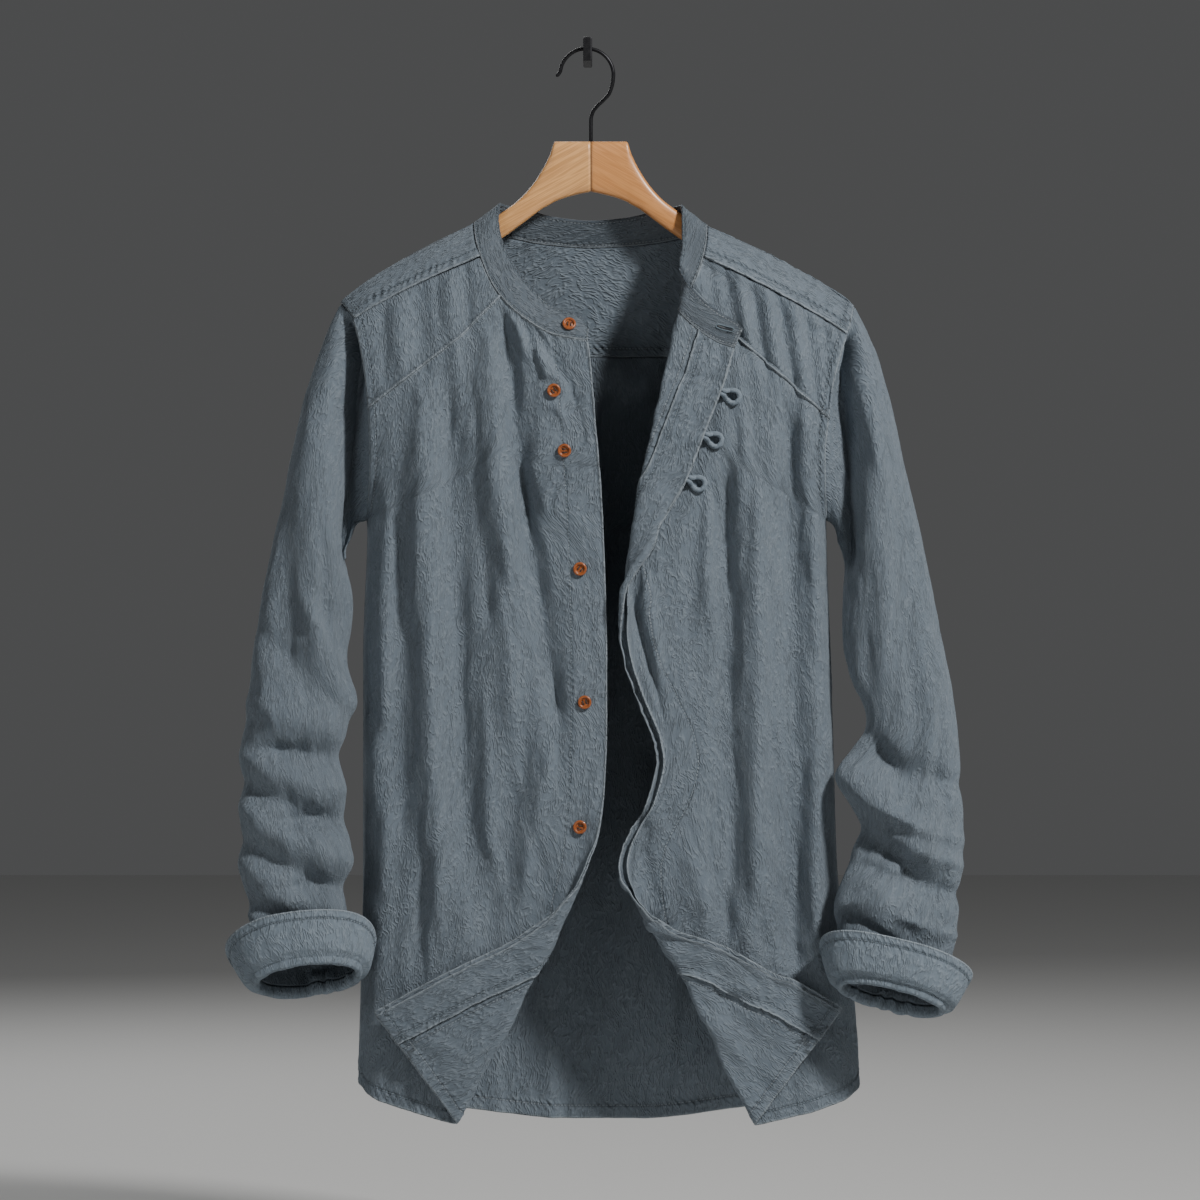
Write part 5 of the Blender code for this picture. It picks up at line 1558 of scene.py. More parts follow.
@dataclass
class Front(Assembly):
    """One front: it turns outward past its turning line and is doubled by a facing."""

    side: int
    rows: int = 290
    main_columns: int = 70
    roll_columns: int = 14
    beyond_columns: int = 34
    facing_gap: float = 1.3
    ripple: float = 0.4
    strip_middle: float = 15.0
    strip_half: float = 11.0
    towards_fold: float = 0.45
    free_lift: tuple[float, float] = (3.2, 1.8)
    grid: Array = field(init=False)
    piece: ClothPiece = field(init=False)

    def surface(self, down: Array, reach: Array) -> Array:
        """A point of the front.

        Args:
            down: share of the way from neck to hem.
            reach: below 0, the share of the way back from the turning line to the outer
                edge; above 0, millimetres past that line.

        Returns:
            The point. Past the line the cloth runs round a roll of the row's radius and then
            straight on, turned by the row's angle, while its distance along the line stays
            as it was, so the cloth is bent and not stretched.
        """
        side, rows = self.side, TURN_ROWS[self.side]
        flat = front_flat(side, down, np.clip(1 + reach, 0, 1))
        past = np.maximum(reach, 0)
        below, above = (front_flat(side, np.clip(down + step, 0, 1), np.ones_like(down))
                        for step in (0.004, -0.004))
        line = unit(below - above)
        square = np.stack([-line[..., 1], line[..., 0]], axis=-1) * -side
        turn, radius, slope, beyond = along(rows, "turn radius slope beyond", down)
        turn, slope = np.radians(turn), np.radians(slope)
        heading = np.stack([-side * np.cos(slope), -np.sin(np.abs(slope))], axis=-1)
        with_line = np.sum(heading * line, axis=-1)
        off_line = np.sum(heading * square, axis=-1)
        arc = np.minimum(past * off_line, turn * radius)
        angle = arc / radius
        rest = past * off_line - arc
        sideways = radius * np.sin(angle) + rest * np.cos(turn)
        out = radius * (1 - np.cos(angle)) + rest * np.sin(turn)
        flat = flat + line * (past * with_line)[..., None] + square * sideways[..., None]
        x, z = flat[..., 0], flat[..., 1]
        width = past / beyond
        if side > 0:
            z = z - TURNED_SAG * 4 * width * (1 - width).clip(0) * np.clip(1 - down / 0.12, 0, 1)
        here = body_y(x, z, -1)
        fold_y = body_y(x * 0 + along(rows, "turn_x", down)[0], z, -1)
        turned = np.clip(rest / 40, 0, 1) * np.clip(turn / math.pi, 0, 1)
        y = mix(here, mix(here, fold_y, self.towards_fold), turned) - out
        on_flap = np.clip(past / 8, 0, 1)
        body = front_relief(side, x, z) * (1 - on_flap * 0.8) * self.flap_room(x, z)
        flap = creases(x, z, FLAP_CREASES[side]) * step_between(6, 14, past) * turn / math.pi
        free = beyond * (1 - width)
        lift = np.where(down < 0.4, *self.free_lift) * (turn / math.pi) ** 6
        lift = lift * step_between(15, 0, free)
        y = y - body * np.clip((1 - down) * 12, 0.35, 1) - flap - lift
        return np.stack([x, y, z], axis=-1)

    def flap_room(self, x: Array, z: Array) -> Array:
        """A share from 0.3 under the turned-up corner to 1 well above its upper edge."""
        edge_x, edge_z, slope = FLAP_EDGE[self.side]
        return 0.3 + 0.7 * step_between(0, 34, z - (edge_z + slope * (x - edge_x)))

    def build_grid(self) -> None:
        """Spread the grid: even on the front, close on the roll, even again on the flap."""
        down = close_ends(self.rows, 0.4)[:, None]
        even = np.arange(self.main_columns) / self.main_columns
        main = np.broadcast_to(even[None, :] - 1, (self.rows, self.main_columns))
        turn, radius, beyond = along(TURN_ROWS[self.side], "turn radius beyond", down)
        roll = np.minimum(np.radians(turn) * radius * 1.15, beyond * 0.6)
        roll = np.where(turn < 30, beyond * 0.6, roll)
        past = [roll * share for share in np.linspace(0, 1, self.roll_columns)]
        past += [mix(roll, beyond, 1 - (1 - share) ** 1.6)
                 for share in np.linspace(0, 1, self.beyond_columns + 1)[1:]]
        reach = np.concatenate([main, np.concatenate(past, axis=1)], axis=1)
        self.grid = self.surface(np.broadcast_to(down, reach.shape), reach)

    def build(self) -> None:
        """Make the front and its facing."""
        hand = OPENING[self.side]
        self.build_grid()
        armhole = from_edge(self.grid, Edge.START)[1].ravel()
        split = float(np.interp(UNDERARM_Z, self.grid[::-1, 0, 2], (armhole / armhole.max())[::-1]))
        low_row = Seam(Edge.END, stitches=(FACING_WIDTH + 4.5,), span=(0.78, 1.0), sewn=False)
        seams = (
            replace(ARMHOLE_SEAM, span=(0.0, split)),
            Seam(Edge.START, 0.5, pucker=0.1, spacing=11, span=(split, 1.0)),
            Seam(Edge.TOP, 0.3, pucker=0.3, spacing=6, rim=True),
            Seam(Edge.LOW, -0.5, 10, -0.4, 0.4, 7, 0.9, (10.0,), sewn=False, pull=1.6),
            Seam(Edge.END, -0.7, 0, 0, 0.12, 9, 0.5, (30.0,), sewn=False, pull=0.8),
            low_row,
        )
        if self.side > 0:
            seams += (replace(low_row, span=(0.0, 0.25), pull=0.7),)
        away = from_edge(self.grid, Edge.END)[0]
        strip = np.exp(-((away - self.strip_middle) / self.strip_half) ** 4)
        uv = cloth_uv(self.grid)
        ripple = self.ripple * strip * crumple(uv[..., 1] * 1.2, uv[..., 0] * 2.2,
                                               SEEDS["ripple"] + self.side)
        base = self.grid + grid_normals(self.grid) * (self.side * ripple)[..., None]
        self.piece = ClothPiece(
            f"front_{hand}_cloth", (f"front_{hand}",), base, -self.side,
            SEEDS["front"] + self.side, seams=seams, rests_on=(f"chest_{hand}_cloth",),
            calm=button_room(base[..., 0], base[..., 2]))
        self.piece.make(self.shop)
        self.build_facing(hand)

    def build_facing(self, hand: str) -> None:
        """Lay the facing on the wrong side, at even distances from the opening edge.

        Args:
            hand: the side's word in names.
        """
        front = self.piece.finished
        wrong = grid_normals(front) * self.side
        distance = np.concatenate([[FACING_WIDTH - 0.01, FACING_WIDTH - 0.4],
                                   np.linspace(FACING_WIDTH - 1.6, 0.8, 26)])
        lines = []
        for at in distance:
            line, normal = line_inside(front, wrong, Edge.END, float(at))
            lines.append(line + normal * self.facing_gap)
        points = np.stack(lines, axis=1)
        z = points[:, -1:, 2]
        outward = unit(points[:, -1:] - points[:, -5:-4])
        turned = step_between(-725, -745, z)
        extra = -3.2 * turned
        if self.side > 0:
            single = step_between(-398, -428, z) * step_between(-728, -705, z)
            extra = extra + 5.6 * single
            channel = np.interp(distance, (0.8, 2.2, 3.6, 5.0, 9.0), (0.6, 4.4, 5.0, 2.6, 0.0))
            points = points + wrong[:, -1:] * (single * channel[None, :])[..., None]
        points = points + outward * (extra * self.near_edge(distance))[..., None]
        seams = (
            Seam(Edge.START, -0.3, 6.5, 0.3, 0.34, 6.5, 0.9, (6.5,), sewn=False, pull=1.2),
            Seam(Edge.END, -0.5, 2.0, 0.2, 0.14, 8, 0.4, (), sewn=False),
            Seam(Edge.LOW, 0.0, 9, 0.2, 0.2, 7, 0.6, (9.0,), sewn=False),
        )
        ClothPiece(f"facing_{hand}_cloth", (f"facing_{hand}",), points, self.side,
                   SEEDS["facing"] + self.side, seams=seams, crumple=0.4, wall=0.8,
                   rests_on=(f"front_{hand}_cloth",)).make(self.shop)

    @staticmethod
    def near_edge(distance: Array) -> Array:
        """A row of shares from 0, 11 mm inside the free edge, to 1 at it."""
        return step_between(11, 0.8, distance)[None, :]


def front_relief(side: int, x: Array, z: Array) -> Array:
    """Creases of the worn front: those of the front panel and of the chest panel above.

    Args:
        side: -1 on the left and 1 on the right.
        x: places across.
        z: places up.

    Returns:
        Heights in millimetres.
    """
    folds, gathers = FRONT_STRENGTH[side]
    relief = folds * creases(x, z, FRONT_CREASES[side])
    relief += gathers * creases(x, z, CHEST_CREASES[side])
    return relief * button_room(x, z)


def button_room(x: Array, z: Array) -> Array:
    """A share from 0 under the buttons, where the cloth lies flat, to 1 away from them.

    Args:
        x: places across.
        z: places up.

    Returns:
        The share at each place.
    """
    share = np.ones_like(x)
    for number in BUTTONS:
        middle = box_middle(node_points(f"button_{number}"))
        share = share * step_between(6.5, 17, np.hypot(x - middle[0], z - middle[2]))
    return share


@dataclass
class Chest(Assembly):
    """The panel between the front yoke seam and the diagonal seam."""

    side: int
    columns: int = 70
    rows: int = 44

    def build(self) -> None:
        """Make the panel: straight rows from armhole to neck, blended from top to low seam."""
        side = self.side
        across = np.linspace(0, 1, self.columns)[None, :]
        down = np.linspace(0, 1, self.rows)[:, None]
        arm_z, yoke_neck = CHEST_TOP[side]
        yoke_arm = at_edge(arm_z, side)
        low = diagonal_seam(side, across)
        top = np.stack([mix(a, b, across) for a, b in zip(yoke_arm, yoke_neck)], axis=-1)
        top[..., 1] = shoulder_z(top[..., 0]) - mix(shoulder_z(yoke_arm[0]) - yoke_arm[1],
                                                    shoulder_z(yoke_neck[0]) - yoke_neck[1],
                                                    across)
        flat = mix(top, low, down[..., None])
        arm_x = body_edge_x(flat[..., 1], side) - mix(top[:, :1, 0], low[:, :1, 0], down)
        neck_x, neck_z, _ = neck_seam(*CHEST_NECK[side], 60)
        pull = smooth(flat[:, -1:, 1], neck_z, neck_x) - flat[:, -1:, 0]
        flat[..., 0] += arm_x[:, :1] * (1 - across) + pull * across ** 3
        x, z = flat[..., 0], flat[..., 1]
        y = body_y(x, z, -1) - front_relief(side, x, z) * (0.3 + 0.7 * np.clip(down * 6, 0, 1))
        hand = OPENING[side]
        seams = (
            ARMHOLE_SEAM,
            Seam(Edge.LOW, -0.7, 2.4, 0.6, 0.1, 6, 0, (2.8,), sewn=False, pull=0.7),
            Seam(Edge.TOP, 0.5, pucker=0.4, spacing=8),
            Seam(Edge.END, 0.7, pucker=0.3, spacing=6, rim=True),
        )
        ClothPiece(f"chest_{hand}_cloth", (f"chest_{hand}",), np.stack([x, y, z], axis=-1), -side,
                   SEEDS["chest"] + side, seams=seams, crumple=0.5,
                   rests_on=("yoke_cloth",)).make(self.shop)


@dataclass
class Yoke(Assembly):
    """One piece from the front yoke seams over both shoulders and across the back."""

    columns: int = 300
    rows: int = 56

    def build(self) -> None:
        """Make the yoke: rows run out from the neck, evenly along and round the shoulder."""
        first, last = YOKE_STATIONS
        x, z, face = neck_seam(first, last, self.columns)
        inner_turn = turn_at(x, z, face)
        share = np.linspace(0, 1, self.columns)
        outer_x, outer_z, sign = (np.interp(share, YOKE_OUTER["share"], YOKE_OUTER[name])
                                  for name in ("x", "z", "face"))
        outer_turn = turn_at(outer_x, outer_z, np.where(sign < 0, -1, 1))
        out = np.linspace(0, 1, self.rows)[:, None]
        turn = mix(inner_turn, outer_turn, out)
        points = over_shoulder(mix(x, outer_x, out), turn)
        back = creases(points[..., 0], points[..., 2], BACK_CREASES) * np.sin(turn).clip(0) ** 2
        points[..., 1] += back
        seams = (Seam(Edge.TOP, 0.6, pucker=0.15, spacing=8),
                 *(Seam(edge, -0.1, 7.5, 0.4, 0.25, 7, 0, (7.5,), sewn=False, pull=1.8)
                   for edge in (Edge.LOW, Edge.START, Edge.END)))
        grain = np.stack([ROOF_DROP * 0.6 * turn, points[..., 0]], axis=-1)
        ClothPiece("yoke_cloth", ("yoke",), points, -1, SEEDS["yoke"], seams=seams, crumple=0.7,
                   rests_on=("hanger_wood_left_piece", "hanger_wood_right_piece"),
                   grain=grain).make(self.shop)


@dataclass
class Back(Assembly):
    """The back below its yoke seam, with long soft folds down it."""

    columns: int = 150
    rows: int = 215

    def build(self) -> None:
        """Make the back: rows from side to side, closer at the sides, down to the hem."""
        across = np.linspace(-1, 1, self.columns)[None, :]
        spread = 0.5 + 0.5 * np.sign(across) * (1 - (1 - np.abs(across)) ** 1.25)
        down = np.linspace(0, 1, self.rows)[:, None]
        low = smooth(mix(HEM_BACK["x"][0], HEM_BACK["x"][-1], spread), *HEM_BACK.values())
        z = mix(BACK_YOKE_Z, low, down)
        x = mix(body_edge_x(z[:, :1], -1), body_edge_x(z[:, -1:], 1), spread)
        fade = np.clip((1 - np.abs(across)) * 8, 0, 1)
        y = body_y(x, z, 1) + creases(x, z, BACK_CREASES) * fade
        points = np.stack([x, y, z], axis=-1)
        split = (UNDERARM_Z - BACK_YOKE_Z) / (SIDE_CORNER_Z - BACK_YOKE_Z)
        seams = (Seam(Edge.TOP, 0.6, pucker=0.35, spacing=9),
                 Seam(Edge.LOW, 0.4, 11, -0.5, 0.45, 7, 0.9, (11.0,), sewn=False, pull=1.8))
        for edge in (Edge.START, Edge.END):
            seams += (Seam(edge, 0.7, 7, 0.25, 0.16, 6, 0, (7.0,), (0.0, split)),
                      Seam(edge, 0.5, pucker=0.1, spacing=11, span=(split, 1.0)))
        ClothPiece("back_cloth", ("back",), points, -1, SEEDS["back"], seams=seams, crumple=1.5,
                   rests_on=("yoke_cloth",)).make(self.shop)


@dataclass
class Collar(Assembly):
    """The standing band. On the loop side its end follows the turned-out front."""

    front: Front
    hole: tuple[float, float] = (115.6, -235.5)
    oval: tuple[float, float] = (7.6, 1.9)
    slit: tuple[float, float] = (6.9, 0.95)
    stations: int = 330
    turned: int = 56
    rows: int = 22
    wall: float = 1.6

    def build(self) -> None:
        """Make the band between the neck seam and its top edge, and its buttonhole."""
        stations = np.arange(len(NECK["face"]))
        at = np.linspace(0, stations[-1], self.stations)
        x, z, face = neck_seam(0, stations[-1], self.stations)
        seam = np.stack([x, body_y(x, z, face), z], axis=-1)
        top = np.stack([smooth(at, stations, NECK[name])
                        for name in ("top_x", "top_y", "top_z")], axis=-1)
        edge = self.front.grid[0, self.front.main_columns:]
        share = np.linspace(0.03, 1, self.turned)
        turned = polyline(np.vstack([seam[-1], edge]), share)
        knots = np.append(0, np.linspace(0.12, 1, 8))
        last = (top[-1, 0], top[-1, 1] - seam[-1, 1], top[-1, 2])
        over_x, back, over_z = (smooth(share, knots, np.append(first, column))
                                for first, column in zip(last, TURNED_TOP.values()))
        over = np.stack([over_x, turned[:, 1] + back, over_z], axis=-1)
        seam, top = np.vstack([seam, turned]), np.vstack([top, over])
        rise = unit(top - seam)
        up = np.linspace(0, 1, self.rows)[:, None, None]
        points = mix(seam + rise * 0.2, top, up)
        ends = [from_edge(points, edge)[0] for edge in (Edge.START, Edge.END)]
        corner = bell(np.minimum(*ends), 4.0) * up[..., 0] ** 3
        points = points - rise[None] * (3.2 * corner)[..., None]
        seams = (
            Seam(Edge.TOP, 0.5, 2.4, 0.12, 0.22, 5, 0, (2.6,), rim=True),
            Seam(Edge.LOW, 0.3, 2.0, 0.1, 0.25, 7, 0.6, (2.4,), pull=1.2),
            *(Seam(edge, -0.2, 2.0, stitches=(2.6,), sewn=False, pull=0.5)
              for edge in (Edge.START, Edge.END)),
        )
        points = points - self.welt(points)
        grain = cloth_uv(points)[..., ::-1]
        # The band's finish is a deeper copy of the shirt's dye, painted shade.
        piece = ClothPiece("collar_band_cloth", ("collar_band",), points, 1, SEEDS["collar"],
                           wall=self.wall, seams=seams, crumple=0.35, rests_on=("yoke_cloth",),
                           grain=grain, kind=Kind.COLLAR_CLOTH)
        piece.make(self.shop)
        self.buttonhole(piece)

    def hole_frame(self, points: Array) -> tuple[Array, ...]:
        """The buttonhole's place on the band.

        Args:
            points: the band's grid.

        Returns:
            Distances of the band's points from the buttonhole, along the band and up it, and
            these two directions.
        """
        gap = np.hypot(points[..., 0] - self.hole[0], points[..., 2] - self.hole[1])
        row, column = np.unravel_index(np.argmin(gap), gap.shape)
        way = unit(points[row, column + 2] - points[row, column - 2])
        up = unit(points[row + 2, column] - points[row - 2, column])
        away = points - points[row, column]
        return away @ way, away @ up, way, up

    def welt(self, points: Array) -> Array:
        """How the buttonhole's padded oval stands out of the band's inner face.

        Args:
            points: the band's grid.

        Returns:
            An offset for each point.
        """
        run, rise, _, _ = self.hole_frame(points)
        ring = np.sqrt((run / 9.5) ** 2 + (rise / 3.2) ** 2)
        near = (np.abs(run) < 14) & (np.abs(rise) < 8)
        height = 0.9 * bell(ring - 0.7, 0.34) * near
        return grid_normals(points) * height[..., None]

    def buttonhole(self, piece: ClothPiece) -> None:
        """Sew the buttonhole on the turned-out end's visible inner face.

        Close stitches run round a long oval, and the slit in it is a dark strip of painted shadow.

        Args:
            piece: the finished band.
        """
        run, rise, way, up = self.hole_frame(piece.points)
        flat = np.stack([run, rise], axis=-1).reshape(-1, 2)
        surface = piece.finished.reshape(-1, 3)
        inner = -piece.facing.reshape(-1, 3)

        def lie(places: Array, out: float) -> tuple[Array, Array]:
            """Points that lie on the inner face at places on the band, and normals there.

            Args:
                places: distances from the buttonhole, along the band and up it.
                out: how far out of the face they lie.

            Returns:
                The points and normals.
            """
            away = np.linalg.norm(places[:, None] - flat[None], axis=-1)
            nearest = np.argsort(away, axis=1)[:, :6]
            share = bell(np.take_along_axis(away, nearest, axis=1), 1.0)
            share = (share / share.sum(axis=1, keepdims=True))[..., None]
            normal = unit((inner[nearest] * share).sum(axis=1))
            offset = places - (flat[nearest] * share).sum(axis=1)
            spot = (surface[nearest] * share).sum(axis=1)
            return spot + offset[:, :1] * way + offset[:, 1:] * up + normal * out, normal

        turn = np.linspace(0, math.tau, 90)
        oval = np.stack([self.oval[0] * np.cos(turn), self.oval[1] * rounded(np.sin(turn), 0.7)],
                        axis=-1)
        ring, normals = lie(oval, piece.wall / 2 + 0.1)
        rows = [StitchRun(pitch=0.8, length=1.1, radius=0.5).mesh_parts(ring, normals)]
        mesh = thread_mesh("buttonhole_stitches", rows)
        self.shop.place("buttonhole_stitches", mesh, Kind.THREAD, (), "collar_band")
        half_length, half_width = self.slit
        length = np.linspace(-half_length, half_length, 24)
        strips = []
        for side in (-1, 0, 1):
            wide = half_width * side * np.sqrt(np.clip(1 - (length / 7.0) ** 4, 0, 1))
            strips.append(lie(np.stack([length, wide], axis=-1), piece.wall / 2 + 0.16)[0])
        slit = np.stack(strips, axis=1)
        # A near-black strip in the slit: painted shadow.
        dark = grid_mesh("buttonhole_slit_shadow", slit, cloth_uv(slit))
        give_wall(self.shop.place("buttonhole_slit_shadow", dark, Kind.SLIT_SHADOW, (), "collar_band"), 0.12)


def cuff_ring(side: int, angle: Array, half_width: Array, half_depth: Array,
              height: Array, shift: Array | float = 0.0) -> Array:
    """Rings of a cuff: flat ovals at heights above its mouth, in its leaning frame.

    Args:
        side: -1 on the left and 1 on the right.
        angle: angles round it, 0 at the outer end.
        half_width: half of each ring's width.
        half_depth: half of its depth.
        height: how far above the mouth.
        shift: how far to the right.

    Returns:
        Points at half the width times the cosine, and half the depth times the sine raised to
        0.9 with its sign kept.
    """
    sizes = CUFF[side]
    lean, roll = math.radians(sizes["lean"]), math.radians(sizes["roll"])
    across = np.array([math.cos(roll), 0, math.sin(roll)])
    towards = np.array([-math.sin(roll) * math.sin(lean), -math.cos(lean),
                        math.cos(roll) * math.sin(lean)])
    up = np.cross(across, -towards)
    up = up * np.sign(up[2])
    swing = rounded(np.sin(angle), 0.9)
    return (np.array(sizes["middle"]) + up * height[..., None]
            + across * (side * half_width * np.cos(angle) + shift)[..., None]
            + towards * (half_depth * swing)[..., None])


def mouth_pleats(side: int, angle: Array) -> Array:
    """How far the pleats of a cuff's mouth reach in at each angle round it.

    Args:
        side: -1 on the left and 1 on the right.
        angle: angles round the mouth, in radians.

    Returns:
        The summed bells of the pleats, in millimetres.
    """
    wave = np.zeros_like(angle)
    for at, width, depth in zip(*MOUTH_PLEATS[side].values()):
        off = np.angle(np.exp(1j * (angle - at)))
        wave = wave + depth * bell(off, width)
    return wave


@dataclass
class Sleeve(Assembly):
    """A sleeve tube that ends inside its turned-up cuff."""

    side: int
    angles: int = 112
    rows: int = 226
    ends_at: float = 0.93
    tuck: float = 1.2

    def surface(self, down: Array, angle: Array) -> Array:
        """A point of the sleeve: angle 0 is its outer end, and 90 degrees the front.

        Args:
            down: share of the way from armhole to cuff.
            angle: angle round the sleeve, in radians.

        Returns:
            A point on the ring between its outer and inner end, with a rounded depth,
            |sin| ** 0.85. The first ring is the armhole, and its shape fades into the rest.
        """
        side, rows = self.side, SLEEVE_RINGS[self.side]
        outer_x, outer_z, inner_x, inner_z, middle_y, half_depth = along(
            rows, " ".join(rows), down)
        share = 0.5 + 0.5 * np.cos(angle)
        swing = rounded(np.sin(angle), 0.85)
        x, z = mix(inner_x, outer_x, share), mix(inner_z, outer_z, share)
        y = middle_y - half_depth * swing
        arm_z = mix(rows["inner_z"][0], rows["outer_z"][0], share)
        arm_x = body_edge_x(arm_z, side)
        front = np.sin(angle) >= 0
        arm_y = body_y(arm_x, arm_z, np.where(front, -1, 1))
        fade = np.clip(1 - down / 0.3, 0, 1) ** 1.5
        x = x + (arm_x - mix(rows["inner_x"][0], rows["outer_x"][0], share)) * fade
        y = y + (arm_y - (rows["middle_y"][0] - rows["half_depth"][0] * swing)) * fade
        tuck = np.clip(1 - down / 0.008, 0, 1)
        x = x - side * self.tuck * tuck
        y = y + self.tuck * swing * tuck
        folds = creases(x, z, SLEEVE_CREASES[side]) * np.clip(down / 0.022, 0, 1)
        folds = folds * (1.45 + 0.2 * step_between(0.5, 0.6, down))
        x = x + side * folds * 0.35 * np.cos(angle)
        y = y - folds * swing * np.where(front, 1, 0.6)
        return np.stack([x, y, z], axis=-1)

    def build(self) -> None:
        """Make the sleeve, with its last rings inside the cuff down to the mouth."""
        angle, hand = turns(self.angles)[None, :], HAND[self.side]
        down = np.linspace(0, self.ends_at, self.rows)[:, None]
        points = self.surface(down + angle * 0, angle + down * 0)
        width, depth = (size - 2 * CUFF_FOLD_RADIUS for size in CUFF[self.side]["mouth"])
        steps = np.linspace(22.0, CUFF_INNER_LIP + 0.2, 9)[:, None]
        pleats = mouth_pleats(self.side, angle) * step_between(22, 10, steps)
        inner = cuff_ring(self.side, angle + steps * 0, width - pleats, depth - pleats,
                          steps + angle * 0)
        bridge = mix(points[-1], inner[0], np.linspace(0, 1, 12)[1:-1, None, None])
        points = np.concatenate([points, bridge, inner])
        seams = (Seam(Edge.TOP, 0.7, pucker=0.35, spacing=8, slant=0.3), Seam(Edge.LOW))
        halves = (f"sleeve_{hand}_front", f"sleeve_{hand}_back")
        ClothPiece(f"sleeve_{hand}_cloth", halves, points, -self.side,
                   SEEDS["sleeve"] + self.side, closed=True, seams=seams, crumple=1.2,
                   rests_on=("yoke_cloth",)).make(self.shop)


@dataclass
class Cuff(Assembly):
    """The turned-up end of a sleeve."""

    side: int
    angles: int = 150

    def section(self) -> tuple[Array, Array, Array]:
        """The cuff's section: how far out and how high, and its share of the way to the rim.

        Returns:
            These three, from inside the mouth round the fold to the rim.
        """
        radius = CUFF_FOLD_RADIUS
        inner = table("out height", (-2 * radius, CUFF_INNER_LIP), (-2 * radius, 4.2),
                      (-2 * radius, 1.5), (-1.9 * radius, 0.1), (-1.6 * radius, -0.7 * radius),
                      (-1.1 * radius, -0.95 * radius), (-0.6 * radius, -radius),
                      (-0.2 * radius, -0.75 * radius), (0, -0.4 * radius),
                      (0.35 * radius, 0.5 * radius), (0.6 * radius, 1.4 * radius))
        share = np.linspace(0.12, 1, 22)
        out = np.concatenate([inner["out"], 0 * share])
        height = np.concatenate([inner["height"], CUFF[self.side]["height"] * share])
        return out, height, np.concatenate([inner["out"] * 0, share])

    def build(self) -> None:
        """Make the cuff: ovals down inside the mouth, round the fold, then up to the rim."""
        sizes, hand, angle = CUFF[self.side], HAND[self.side], turns(self.angles)
        out, height, share = (column[:, None] for column in self.section())
        wave = mouth_pleats(self.side, angle)
        grow = np.interp(np.arange(len(share)), (0, 8, 14, len(share)), (1, 0.8, 0.3, 0.0))
        rim_wave = 0.9 * np.sin(3 * angle + 0.7) + 0.6 * np.sin(5 * angle + 2.1)
        wide, deep = (
            np.where(share > 0, mix(mouth + 2, rim, share ** flare), mouth + out)
            - wave * grow[:, None] + rim_wave * share ** 2
            for mouth, rim, flare in zip(sizes["mouth"], sizes["rim"], (0.55, 0.65)))
        lift = height + 0.9 * np.sin(2 * angle + 1.3) * share ** 3
        points = cuff_ring(self.side, angle + 0 * wide, wide, deep, lift,
                           sizes["rim_shift"] * share)
        seams = (Seam(Edge.LOW, -0.4, 7.5, 0.35, 0.4, 6.5, 0.5, (7.5,), sewn=False, pull=1.2),
                 Seam(Edge.TOP))
        # The cuff's finish is a paler copy of the shirt's dye, painted light.
        ClothPiece(f"cuff_{hand}_cloth", (f"cuff_{hand}",), points, self.side,
                   SEEDS["cuff"] + self.side, closed=True, seams=seams, crumple=0.5,
                   kind=Kind.CUFF_CLOTH, rests_on=(f"sleeve_{hand}_cloth",)).make(self.shop)


def node_points(name: str) -> Array:
    """A CAD node's corners in millimetres.

    Args:
        name: the node's name.

    Returns:
        Rows of x, y and z.
    """
    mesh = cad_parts[name].data
    flat = np.empty(len(mesh.vertices) * 3)
    mesh.vertices.foreach_get("co", flat)
    return flat.reshape(-1, 3) / MM


def box_middle(corners: Array) -> Array:
    """The middle of the box round some points."""
    return (corners.min(axis=0) + corners.max(axis=0)) / 2


